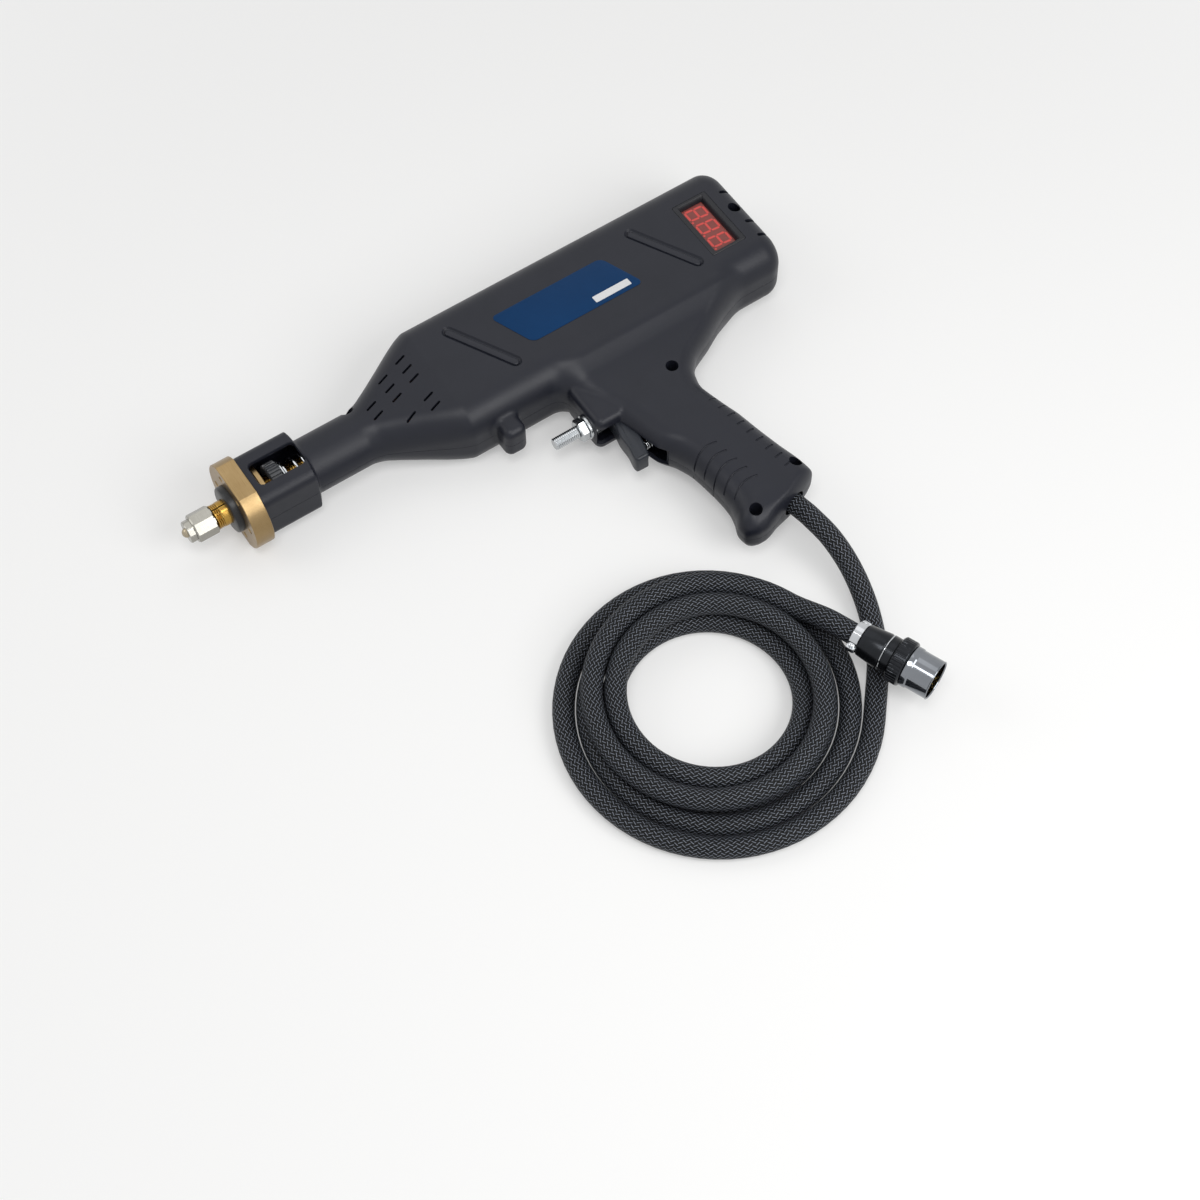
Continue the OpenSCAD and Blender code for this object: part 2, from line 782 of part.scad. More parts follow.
module earth_bar() color("#b87333") place() {
    tab_z = core_depth / 2 + winding_gap - seat_gap;
    tab_front = core_front - tab_reach;
    t = bar_thickness;
    side_plate([[spigot_length + seat_gap, -bar_lug_drop], [spigot_length + seat_gap, -bar_barrel_drop - t],
        [barrel_length - 3 * step_run, -bar_barrel_drop - t], [barrel_length - step_run, -bar_neck_drop - t],
        [taper_start, -bar_neck_drop - t], [tab_front - tab_overlap, -tab_z],
        [tab_front + tab_overlap, -tab_z], [tab_front + tab_overlap, t - tab_z],
        [tab_front - tab_overlap, t - tab_z], [taper_start, -bar_neck_drop],
        [barrel_length - step_run, -bar_neck_drop], [barrel_length - 3 * step_run, -bar_barrel_drop],
        [spigot_length + seat_gap + t, -bar_barrel_drop], [spigot_length + seat_gap + t, -bar_lug_drop]],
        bar_width);
}

module flexible_link() color("#b5794a") place() {
    tab_z = core_depth / 2 + winding_gap - seat_gap;
    tab_front = core_front - tab_reach;
    front = shaft_rear + seat_gap;
    t = link_thickness;
    r = shaft_radius;
    mid = (front + tab_front) / 2;
    difference() {
        side_plate([[front, -r], [front + t, -r], [front + t, r - t / 2], [front + 2 * t, r + t / 2],
            [mid, tab_z - 2 * t], [tab_front - t, tab_z - t], [tab_front + tab_overlap, tab_z - t],
            [tab_front + tab_overlap, tab_z], [tab_front - t, tab_z], [mid - t, tab_z - t],
            [front + t, r + 3 * t / 2], [front, r]], link_width);
        along_x(front - overrun) cylinder(h = t + 2 * overrun, r = link_screw_radius + seat_gap);
    }
}

module link_screw() color("#9a9da1") place() {
    head = shaft_rear + link_thickness + 2 * seat_gap;
    along_x(head) cylinder(h = link_head_height, r = link_head_radius);
    along_x(head - link_screw_length) cylinder(h = link_screw_length, r = link_screw_radius);
}

module nose_flange() color("#b3925a") place() {
    difference() {
        union() {
            intersection() {
                along_x(-flange_thickness) cylinder(h = flange_thickness, d = flange_diameter);
                translate([-flange_thickness - overrun, -flange_diameter / 2, axis_z - flange_flat_span / 2])
                    cube([flange_thickness + 2 * overrun, flange_diameter, flange_flat_span]);
            }
            along_x(0) cylinder(h = spigot_length, r = spigot_radius);
        }
        along_x(retainer_front) tube(retainer_width, spigot_radius + overrun, spigot_radius - retainer_depth);
        along_x(-flange_thickness - overrun)
            cylinder(h = flange_thickness + spigot_length + 2 * overrun,
                r = bush_sleeve_radius + running_fit);
        for (k = [0 : flange_hole_count - 1])
            along_x(-flange_thickness - overrun) rotate(360 * (k + 1 / 2) / flange_hole_count)
                translate([flange_hole_circle / 2, 0, 0])
                cylinder(h = flange_hole_depth + overrun, d = flange_hole_diameter);
    }
}

module insulating_bush() color("#2a2b2d") place() {
    along_x(-flange_thickness - bush_lip) tube(bush_lip, bush_diameter / 2, bore_radius);
    along_x(-flange_thickness)
        tube(flange_thickness + spigot_length, bore_radius + bush_sleeve_wall, bore_radius);
}

module rear_guide() color("#d8d4c4") place() {
    groove = guide_front + guide_length / 2 - retainer_width / 2;
    difference() {
        along_x(guide_front) tube(guide_length, guide_radius, bore_radius);
        along_x(groove) tube(retainer_width, guide_radius + overrun, guide_radius - guide_groove_depth);
    }
}

module electrode_shaft() color("#c8a24a") place() {
    clip = guide_rear + 2 * seat_gap;
    difference() {
        union() {
            along_x(stub_front) cylinder(h = shaft_shoulder - stub_front + overrun, r = nut_thread_radius);
            along_x(shaft_shoulder) cylinder(h = shaft_rear - shaft_shoulder, r = shaft_radius);
        }
        along_x(clip - seat_gap)
            tube(circlip_thickness + 2 * seat_gap, shaft_radius + overrun, shaft_radius - circlip_groove);
        along_x(shaft_rear - link_screw_length)
            cylinder(h = link_screw_length + overrun, r = link_screw_radius + seat_gap);
        translate([stub_front - overrun, -slit_width / 2, axis_z])
            cube([slit_rear - stub_front + overrun, slit_width, shaft_diameter]);
    }
}

module shaft_circlip() color("#8d9094") place() {
    inner = shaft_radius - circlip_groove + running_fit;
    along_x(guide_rear + 2 * seat_gap) tube(circlip_thickness, inner + circlip_height, inner);
}

module adjuster_ring() color("#2b2c2f") place() {
    along_x(adjuster_front) difference() {
        tube(adjuster_length, adjuster_diameter / 2, bore_radius);
        for (k = [0 : adjuster_flutes - 1]) rotate(360 * k / adjuster_flutes)
            translate([adjuster_diameter / 2 + flute_radius / 4, 0, -overrun])
            cylinder(h = adjuster_length + 2 * overrun, r = flute_radius, $fn = 16);
    }
}

module thrust_washer() color("#c4c7ca") place() {
    along_x(washer_front) tube(washer_thickness, washer_radius, shaft_radius + assembly_gap);
}

// A tube swept along points, with a ring at each point
function unit(v) = v / norm(v);

function tangent(path, i) = unit(path[min(i + 1, len(path) - 1)] - path[max(i - 1, 0)]);

function swept_rings(path, radius, sides, up) = [
    for (i = [0 : len(path) - 1]) let (t = tangent(path, i), s = unit(cross(t, up)), u = cross(s, t))
        [for (k = [0 : sides - 1]) let (a = 360 * (k + 1 / 2) / sides)
            path[i] + radius * (cos(a) * u + sin(a) * s)]];

// A helix along X with rings worked out from each curl
curl_rings = 8;
spring_sides = 6;

function helix(start, length, radius, curls) = [
    for (i = [0 : curls * curl_rings]) let (a = 360 * i / curl_rings)
        [start + length * i / (curls * curl_rings), radius * cos(a), radius * sin(a)]];

spring_start = washer_rear + seat_gap + spring_wire / 2;
spring_length = guide_front - seat_gap - spring_wire / 2 - spring_start;
echo(return_spring_gap = spring_length / spring_curls - spring_wire);

module return_spring() color("#d0d2d4") place() {
    translate([0, 0, axis_z])
        loft(swept_rings(helix(spring_start, spring_length, spring_diameter / 2, spring_curls),
            spring_wire / 2, spring_sides, [1, 0, 0]));
}

module chuck_nut() color("#c9c9c5") place() {
    difference() {
        union() {
            along_x(nut_front) rotate(360 / 16)
                cylinder(h = nut_length, d = nut_across_flats / cos(180 / 8), $fn = 8);
            along_x(nut_front - nut_collar_length)
                cylinder(h = nut_collar_length + overrun, d = nut_collar_diameter);
        }
        along_x(nut_front + nut_wall_front) cylinder(h = nut_length, r = nut_thread_radius + running_fit);
        along_x(nut_front - nut_collar_length - overrun)
            cylinder(h = nut_length, r = tip_diameter / 2 + running_fit);
    }
}

module electrode_tip() color("#a8825a") place() {
    r = tip_diameter / 2;
    along_x(tip_front + r) sphere(r = r);
    along_x(tip_front + r)
        cylinder(h = nut_front + nut_wall_front + seat_gap + tip_collar_length / 2 - tip_front - r, r = r);
    along_x(nut_front + nut_wall_front + seat_gap) cylinder(h = tip_collar_length, r = tip_collar_radius);
}

module trigger() color("#3a3e47") place() {
    translate([pivot_x, pivot_y, axis_z - trigger_width / 2]) difference() {
        union() {
            cylinder(h = trigger_width, r = trigger_hub_radius);
            linear_extrude(height = trigger_width)
                polygon([for (s = trigger_shares) [s[0] * trigger_depth, -s[1] * trigger_length]]);
        }
        translate([0, 0, -overrun])
            cylinder(h = trigger_width + 2 * overrun, r = trigger_pin_diameter / 2 + running_fit);
    }
}

module trigger_pin() color("#a9acb0") place() {
    translate([pivot_x, pivot_y, axis_z - hood_half + wall + seat_gap])
        cylinder(h = 2 * (hood_half - wall - seat_gap), d = trigger_pin_diameter);
}

trigger_spring_start = pivot_x + return_face_share * trigger_depth + assembly_gap + return_spring_wire;
trigger_spring_length = return_seat_x - return_spring_wire - trigger_spring_start;
echo(trigger_spring_gap = trigger_spring_length / return_spring_curls - return_spring_wire);

module trigger_spring() color("#c9ccce") place() {
    translate([0, pivot_y - return_drop, axis_z])
        loft(swept_rings(helix(trigger_spring_start, trigger_spring_length, return_spring_radius,
            return_spring_curls), return_spring_wire / 2, spring_sides, [1, 0, 0]));
}

module microswitch() color("#1b1b1d") place() {
    translate([switch_x, pivot_y - switch_drop, axis_z]) difference() {
        translate([0, -switch_height / 2, -switch_width / 2])
            cube([switch_length, switch_height, switch_width]);
        rotate([0, 90, 0]) translate([0, 0, -overrun])
            cylinder(h = plunger_depth + overrun, r = plunger_radius + running_fit);
        for (k = [-1, 1]) translate([switch_length / 2 + k * switch_hole_pitch / 2, 0, -switch_width])
            cylinder(h = 2 * switch_width, r = switch_hole_radius);
    }
}

module switch_plunger() color("#b03a2e") place() {
    front = pivot_x + trigger_face_share * trigger_depth + plunger_gap;
    translate([0, pivot_y - switch_drop, 0]) along_x(front)
        cylinder(h = switch_x + plunger_depth / 3 - front, r = plunger_radius);
}

module terminal_stud() color("#b8bbb6") place() {
    free = stud_length - terminal_nut_length - terminal_washer_thickness - 2 * seat_gap;
    translate([0, terminal_y, 0]) along_x(hood_front - stud_length) {
        cylinder(h = free, d = stud_diameter);
        cylinder(h = stud_length + stud_inside, r = stud_seat_radius);
    }
}

module terminal_nuts() color("#c2c5c3") place() {
    outer = hood_front - seat_gap - terminal_washer_thickness - seat_gap - terminal_nut_length;
    for (x = [outer, hood_front + wall + seat_gap])
        translate([0, terminal_y, 0]) along_x(x) difference() {
            cylinder(h = terminal_nut_length, d = terminal_nut_flats / cos(180 / 6), $fn = 6);
            translate([0, 0, -overrun])
                cylinder(h = terminal_nut_length + 2 * overrun, r = stud_seat_radius + running_fit);
        }
}

module terminal_washer() color("#cfd2d0") place() {
    translate([0, terminal_y, 0]) along_x(hood_front - seat_gap - terminal_washer_thickness)
        tube(terminal_washer_thickness, terminal_washer_radius, stud_seat_radius + running_fit);
}

module lead_gland() color("#1c1d1f") place() {
    outlet_axis() translate([0, 0, -gland_recess - gland_length]) {
        cylinder(h = gland_length, r = gland_radius);
        translate([0, 0, gland_collar_start]) cylinder(h = gland_collar_length, r = gland_collar_radius);
    }
}

// The lead's free stretch: straight out of the gland, then along the route to the coil's start
gland_way = [sin(outlet_turn), -cos(outlet_turn), 0];
gland_face = [outlet_x - ref_x, outlet_y - ref_y, axis_z] - gland_recess * gland_way;
coil_start = coil_point(0);
coil_way = coil_heading(0);
lead_end = coil_start - lead_diameter * coil_way;
free_points = concat([gland_face + lead_diameter * gland_way], lead_route,
    [lead_end - lead_diameter * coil_way]);

// A smooth curve through the points
function curve_point(p, i, t) = let (
    a = p[max(i - 1, 0)], b = p[i], c = p[i + 1], d = p[min(i + 2, len(p) - 1)])
    (2 * b + (c - a) * t + (2 * a - 5 * b + 4 * c - d) * t * t + (3 * b - a - 3 * c + d) * t * t * t) / 2;

free_path = concat([gland_face + seat_gap * gland_way],
    [for (i = [0 : len(free_points) - 2]) for (k = [0 : lead_steps - 1])
        curve_point(free_points, i, k / lead_steps)],
    [free_points[len(free_points) - 1], lead_end - seat_gap * coil_way]);

module lead_tube() color("#202226")
    loft(swept_rings(free_path, lead_radius, lead_sides, [0, 0, 1]));

// The coil spirals in on the floor, climbs a layer where it turns back and spirals out on top
function eased(t) = let (c = min(max(t, 0), 1)) c * c * (3 - 2 * c);

function coil_reach(u) = coil_radius - coil_pitch * (coil_turn_back
    - sqrt((u - coil_turn_back) * (u - coil_turn_back) + coil_soft_span * coil_soft_span)) / 360;

function coil_point(u) = let (a = coil_start_angle - u)
    [coil_centre.x + coil_reach(u) * cos(a), coil_centre.y + coil_reach(u) * sin(a),
        coil_z + coil_layer * eased((u - coil_turn_back) / coil_climb_span + 1 / 2)];

function coil_heading(u) = let (d = coil_point(u + 1 / 2) - coil_point(u - 1 / 2)) unit([d.x, d.y, 0]);

coil_end = coil_point(coil_span);
coil_end_way = coil_heading(coil_span);
tail_end = [coil_end.x + tail_run * coil_end_way.x, coil_end.y + tail_run * coil_end_way.y, connector_z];
tail = [for (k = [1 : tail_steps]) let (t = k / tail_steps)
    [coil_end.x + t * tail_run * coil_end_way.x, coil_end.y + t * tail_run * coil_end_way.y,
        coil_end.z + (connector_z - coil_end.z) * eased(t)]];
coil_path = concat([lead_end, coil_start],
    [for (u = [coil_step : coil_step : coil_span]) coil_point(u)], tail,
    [tail_end + lead_diameter * coil_end_way]);
connector_start = tail_end + lead_diameter * coil_end_way;

coil_gap_points = [for (u = [0 : coil_step / 3 : coil_span]) coil_point(u)];
coil_gap = min([for (i = [0 : len(coil_gap_points) - 1]) for (j = [i + 36 : 1 : len(coil_gap_points) - 1])
    norm(coil_gap_points[i] - coil_gap_points[j])]) - lead_diameter;
echo(lead_coil_gap = coil_gap);
echo(connector_start = connector_start, connector_way = coil_end_way);

module lead_coil() color("#202226")
    loft(swept_rings(coil_path, lead_radius, coil_sides, [0, 0, 1]));

// The connector's own axis, from the cable end towards its mouth
module connector_axis(s) {
    translate(connector_start) rotate([0, 0, atan2(coil_end_way.y, coil_end_way.x)]) rotate([0, 90, 0])
        translate([0, 0, s]) children();
}

clamp_front = clamp_length;
backshell_front = clamp_front + backshell_length;
ring_start = backshell_front + neck_ring_length;
mouth_end = backshell_front + shell_length;
shell_radius = connector_diameter / 2 - ring_wall;

module connector_clamp() color("#c6c8c9") {
    connector_axis(0) difference() {
        union() {
            cylinder(h = clamp_length, r = lead_radius + clamp_wall);
            block([clamp_wall * 2, clamp_width, clamp_length]);
        }
        for (s = [-1, 1])
            translate([0, s * (lead_radius + clamp_wall / 2), clamp_length / 2]) rotate([0, 90, 0])
            cylinder(h = clamp_width, r = clamp_screw_radius + running_fit, center = true);
        for (s = [-1, 1]) translate([-clamp_wall, s * (lead_radius + clamp_wall / 2), clamp_length / 2])
            rotate([0, -90, 0]) cylinder(h = clamp_width, r = clamp_head_radius + assembly_gap);
    }
}

module clamp_screws() color("#dcdedf") {
    connector_axis(0) for (s = [-1, 1])
        translate([-clamp_wall, s * (lead_radius + clamp_wall / 2), clamp_length / 2]) rotate([0, -90, 0]) {
            translate([0, 0, seat_gap]) cylinder(h = clamp_head_height, r = clamp_head_radius);
            translate([0, 0, -2 * clamp_wall]) cylinder(h = 2 * clamp_wall + seat_gap + running_fit,
                r = clamp_screw_radius);
        }
}

module connector_backshell() color("#34373c") {
    connector_axis(clamp_front)
        cylinder(h = backshell_length, r1 = backshell_rear_radius, r2 = backshell_radius);
}

module connector_shell() color("#c8cacc") {
    connector_axis(backshell_front) difference() {
        union() {
            cylinder(h = neck_ring_length, r = backshell_radius);
            cylinder(h = shell_length, r = shell_radius - running_fit);
            translate([0, 0, neck_ring_length + ring_length + seat_gap])
                cylinder(h = connector_mouth_length - seat_gap, r = connector_diameter / 2);
        }
        translate([0, 0, shell_length - mouth_depth]) cylinder(h = mouth_depth + overrun,
            r = connector_diameter / 2 - mouth_wall);
    }
}

module coupling_ring() color("#d5d7d8") {
    connector_axis(ring_start + seat_gap) difference() {
        tube(ring_length - seat_gap, connector_diameter / 2 + ring_wall, shell_radius);
        for (k = [0 : ring_flutes - 1]) rotate(360 * k / ring_flutes)
            translate([connector_diameter / 2 + ring_wall, 0, -overrun])
            cylinder(h = ring_length + 2 * overrun, r = ring_flute_radius, $fn = 16);
    }
}

module connector_insert() color("#b89b52") {
    connector_axis(mouth_end - mouth_depth) difference() {
        cylinder(h = insert_thickness, r = connector_diameter / 2 - mouth_wall - seat_gap);
        pin_places() translate([0, 0, insert_thickness - pin_tail])
            cylinder(h = insert_thickness, d = connector_pin_diameter + 2 * running_fit);
    }
}

module pin_places() {
    children();
    for (k = [0 : connector_pin_count - 1]) rotate(360 * k / connector_pin_count)
        translate([pin_circle_share * (connector_diameter / 2 - mouth_wall), 0, 0]) children();
}

module connector_pins() color("#d9b75e") {
    r = connector_pin_diameter / 2;
    connector_axis(mouth_end - mouth_depth + insert_thickness - pin_tail) pin_places() {
        cylinder(h = pin_reach + pin_tail - r, r = r);
        translate([0, 0, pin_reach + pin_tail - r]) sphere(r = r);
    }
}

left_shell();
right_shell();
housing_screws();
name_label();
display_bezel();
display_lens();
display_module();
control_board();
board_screws();
transformer_core();
primary_winding();
secondary_winding();
earth_bar();
flexible_link();
link_screw();
nose_flange();
insulating_bush();
rear_guide();
electrode_shaft();
shaft_circlip();
adjuster_ring();
thrust_washer();
return_spring();
chuck_nut();
electrode_tip();
trigger();
trigger_pin();
trigger_spring();
microswitch();
switch_plunger();
terminal_stud();
terminal_nuts();
terminal_washer();
lead_gland();
lead_tube();
lead_coil();
connector_clamp();
clamp_screws();
connector_backshell();
connector_shell();
coupling_ring();
connector_insert();
connector_pins();
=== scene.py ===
"""A stud welding gun lying on its right side, with its coiled braided lead and round connector.

Shapes are worked out in millimetres in the gun's own measure: X runs back from the barrel's mouth,
Y up from the nose axis, Z up from the floor. One function puts them into the shared frame, in metres.
"""

import logging
import math
from dataclasses import dataclass, field, replace
from enum import Enum
from typing import Callable, Optional, Sequence

import bmesh
import bpy
import numpy as np
from mathutils import Matrix


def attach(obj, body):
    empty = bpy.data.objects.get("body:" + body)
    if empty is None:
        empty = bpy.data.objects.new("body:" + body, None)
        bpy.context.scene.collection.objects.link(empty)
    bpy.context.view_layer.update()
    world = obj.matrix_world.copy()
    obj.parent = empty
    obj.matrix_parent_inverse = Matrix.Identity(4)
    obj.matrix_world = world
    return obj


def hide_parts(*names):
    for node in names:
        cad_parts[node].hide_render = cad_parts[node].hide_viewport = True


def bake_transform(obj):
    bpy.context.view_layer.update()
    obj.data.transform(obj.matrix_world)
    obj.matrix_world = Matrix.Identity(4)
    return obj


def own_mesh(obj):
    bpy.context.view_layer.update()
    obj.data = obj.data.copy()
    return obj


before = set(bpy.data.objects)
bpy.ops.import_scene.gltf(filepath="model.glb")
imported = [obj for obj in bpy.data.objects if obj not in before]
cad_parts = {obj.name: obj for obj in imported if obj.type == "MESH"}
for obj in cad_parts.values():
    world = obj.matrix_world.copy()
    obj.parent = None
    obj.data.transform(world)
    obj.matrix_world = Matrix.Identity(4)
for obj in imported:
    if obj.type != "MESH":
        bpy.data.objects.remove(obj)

LOG = logging.getLogger("stud_welder")
Array = np.ndarray
Shape = tuple[Array, list]
Point = tuple[float, float, float]
Profile = Sequence[tuple[float, float]]
Wave = Callable[[Array, Array, Array], Array]
Socket = bpy.types.NodeSocket

MM = 0.001
TURN = 2.0 * math.pi
GUN_ORIGIN = np.array([157.4, -74.5, 0.0])
AXIS_Z = 25.0


# Colour, nodes and finishes

def linear(code: str) -> tuple[float, float, float, float]:
    """Turns an sRGB hex code into linear colour.

    Args:
        code: A code such as "#35363a".

    Returns:
        Red, green, blue and alpha for a shader socket.
    """
    value = np.array([int(code[i:i + 2], 16) for i in (1, 3, 5)]) / 255.0
    rgb = np.where(value <= 0.04045, value / 12.92, ((value + 0.055) / 1.055) ** 2.4)
    return float(rgb[0]), float(rgb[1]), float(rgb[2]), 1.0


def add_node(tree: bpy.types.NodeTree, kind: str, inputs: Optional[dict] = None,
             **settings: object) -> bpy.types.Node:
    """Adds a node, sets it and links it.

    Args:
        tree: The node tree.
        kind: The node's type name.
        inputs: Socket names or numbers with a value, or with the socket that feeds them.
        settings: The node's own settings.

    Returns:
        The node.
    """
    node = tree.nodes.new(kind)
    for key, value in settings.items():
        setattr(node, key, value)
    for key, value in (inputs or {}).items():
        if isinstance(value, Socket):
            tree.links.new(value, node.inputs[key])
        else:
            node.inputs[key].default_value = value
    return node


class Pattern(Enum):
    """How a surface was made, which decides the pattern that it shows."""

    MOULDED = "moulded"
    TURNED = "turned"
    BRUSHED = "brushed"
    PLATED = "plated"
    BRAIDED = "braided"
    STACKED = "stacked"


# Where the noise is drawn out: brush lines run along Y, and stacked sheets lie level
EVEN = (1.0, 1.0, 1.0)
STRETCH = {Pattern.BRUSHED: (1.0, 0.04, 1.0), Pattern.STACKED: (0.02, 0.02, 1.0)}

# What every finish shares. The broad noise makes patches about 22 mm across, as handling does
BUMP_STRENGTH = 0.8
COAT_ROUGHNESS = 0.08
FINE_NOISE = {"Detail": 3.0, "Roughness": 0.55}
BROAD_NOISE = {"Scale": 45.0, "Detail": 6.0, "Roughness": 0.62}
FINE_SHARE = 0.45
BROAD_LOW, BROAD_HIGH = 0.36, 0.64

# The plaited sleeve: strands each way round the lead, threads in a strand and their relief.
# The two powers narrow the highlight painted on each strand's crown
STRANDS = 16.0
THREADS = 3.0
THREAD_RELIEF = 0.25
UNDER_HEIGHT = 0.5
CROWN_POWER = 9.0
THREAD_POWER = 2.0


@dataclass(frozen=True)
class Finish:
    """One material: what it is, its colours and the pattern that its making leaves.

    Sizes are in millimetres: grain is the pattern's spacing and depth is how far it stands out. The
    pattern swings the colour from base to tone, and the roughness by the share in vary. Gloss is the
    specular level. Centre and turn, in the frame, give the axis that a turned pattern runs round.
    """

    name: str
    base: str
    tone: str
    roughness: float
    pattern: Pattern = Pattern.MOULDED
    metallic: float = 0.0
    grain: float = 0.5
    depth: float = 0.02
    vary: float = 0.25
    gloss: float = 0.5
    coat: float = 0.0
    glow: float = 0.0
    centre: Point = (-0.1574, 0.0745, 0.025)
    turn: float = 0.0

    def material(self) -> bpy.types.Material:
        """Builds the material once and keeps it.

        Returns:
            The material.
        """
        found = bpy.data.materials.get(self.name)
        if found:
            return found
        made = bpy.data.materials.new(self.name)
        made.use_nodes = True
        tree = made.node_tree
        tree.nodes.clear()
        fine, broad = self._braid(tree) if self.pattern is Pattern.BRAIDED else self._grain(tree)
        # Mix from base to tone: random tone on most finishes; on the plait, a highlight painted on the
        # strands' crowns
        shade = add_node(tree, "ShaderNodeMix", data_type="RGBA",
                         inputs={0: broad, 6: linear(self.base), 7: linear(self.tone)})
        low, high = (self.roughness * (1 + sign * self.vary / 2) for sign in (-1, 1))
        rough = add_node(tree, "ShaderNodeMapRange", {0: broad, 3: low, 4: min(1.0, high)})
        bump = add_node(tree, "ShaderNodeBump", {"Strength": BUMP_STRENGTH, "Height": fine,
                                                 "Distance": self.depth * MM})
        sockets = {"Base Color": shade.outputs[2], "Roughness": rough.outputs[0],
                   "Normal": bump.outputs[0], "Metallic": self.metallic,
                   "Specular IOR Level": self.gloss}
        if self.coat:
            sockets |= {"Coat Weight": self.coat, "Coat Roughness": COAT_ROUGHNESS}
        if self.glow:
            sockets |= {"Emission Color": linear(self.base), "Emission Strength": self.glow}
        shader = add_node(tree, "ShaderNodeBsdfPrincipled", sockets)
        add_node(tree, "ShaderNodeOutputMaterial", {"Surface": shader.outputs[0]})
        return made

    def _grain(self, tree: bpy.types.NodeTree) -> tuple[Socket, Socket]:
        """Noise on Object coordinates, drawn out the way that the surface was worked.

        A turned surface repeats the same noise round its axis, so the noise reads only the distance
        along the axis and the distance from it. A brushed or stacked one is drawn out along its lines.

        Args:
            tree: The material's tree.

        Returns:
            The fine pattern for the bump, and the broad one for colour and gloss.
        """
        coords = add_node(tree, "ShaderNodeTexCoord").outputs["Object"]
        placed = add_node(tree, "ShaderNodeVectorMath", {0: coords, 1: self.centre},
                          operation="SUBTRACT").outputs[0]
        reach = add_node(tree, "ShaderNodeVectorRotate", {"Vector": placed, "Angle": -self.turn},
                         rotation_type="Z_AXIS").outputs[0]
        if self.pattern is Pattern.TURNED:
            along, *across = add_node(tree, "ShaderNodeSeparateXYZ", {0: reach}).outputs
            flat = add_node(tree, "ShaderNodeCombineXYZ", {1: across[0], 2: across[1]}).outputs[0]
            radius = add_node(tree, "ShaderNodeVectorMath", {0: flat}, operation="LENGTH")
            reach = add_node(tree, "ShaderNodeCombineXYZ",
                             {0: along, 1: radius.outputs["Value"]}).outputs[0]
        drawn = add_node(tree, "ShaderNodeVectorMath",
                         {0: reach, 1: STRETCH.get(self.pattern, EVEN)}, operation="MULTIPLY")
        fine = add_node(tree, "ShaderNodeTexNoise", {"Vector": drawn.outputs[0], **FINE_NOISE,
                                                     "Scale": 1.0 / (self.grain * MM)}).outputs[0]
        wide = add_node(tree, "ShaderNodeTexNoise", {"Vector": coords, **BROAD_NOISE}).outputs[0]
        mixed = add_node(tree, "ShaderNodeMix", {0: FINE_SHARE, 2: wide, 3: fine}).outputs[0]
        broad = add_node(tree, "ShaderNodeMapRange", {0: mixed, 1: BROAD_LOW, 2: BROAD_HIGH})
        return fine, broad.outputs[0]

    def _braid(self, tree: bpy.types.NodeTree) -> tuple[Socket, Socket]:
        """Plaited sleeve on the tube's own UV, in which U is the length in metres and V goes once round.

        Two sets of strands climb left and right round the tube. Each strand is a rounded ridge of
        three threads, and the set that lies on top changes from cell to cell, as over and under in a
        plain plait. Height = the larger of top strand with its threads and lowered under strand. The
        painted glint is a highlight painted on the crown of each top strand, which lifts its colour.

        Args:
            tree: The material's tree.

        Returns:
            The height of the strands, and the highlight painted on their crowns.
        """
        def maths(operation: str, first: object, second: object = 0.0) -> Socket:
            """One step of arithmetic."""
            return add_node(tree, "ShaderNodeMath", {0: first, 1: second}, operation=operation).outputs[0]

        place = add_node(tree, "ShaderNodeTexCoord").outputs["UV"]
        parts = add_node(tree, "ShaderNodeSeparateXYZ", {0: place}).outputs
        along = maths("MULTIPLY", parts[0], 1.0 / (self.grain * MM))
        around = maths("MULTIPLY", parts[1], STRANDS)
        ridges, threads, cells = [], [], []
        for sign in ("ADD", "SUBTRACT"):
            lane = maths(sign, along, around)
            for waves, rate in ((ridges, math.pi), (threads, THREADS * math.pi)):
                waves.append(maths("ABSOLUTE", maths("SINE", maths("MULTIPLY", lane, rate))))
            cells.append(maths("FLOOR", lane))
        over = maths("FLOORED_MODULO", maths("ADD", *cells), 2.0)
        top, under, line = (add_node(tree, "ShaderNodeMix", {0: over, 2: a, 3: b}).outputs[0]
                            for a, b in (ridges, ridges[::-1], threads))
        relief = maths("ADD", maths("MULTIPLY", line, THREAD_RELIEF), 1 - THREAD_RELIEF)
        height = maths("MAXIMUM", maths("MULTIPLY", top, relief), maths("MULTIPLY", under, UNDER_HEIGHT))
        painted_glint = maths("MULTIPLY", maths("POWER", top, CROWN_POWER), maths("POWER", line, THREAD_POWER))
        return height, painted_glint


# The connector's own axis, round which its metals were turned
ON_CONNECTOR = {"centre": (0.081185, -0.201499, 0.027), "turn": math.atan2(-0.929301, 0.369323)}


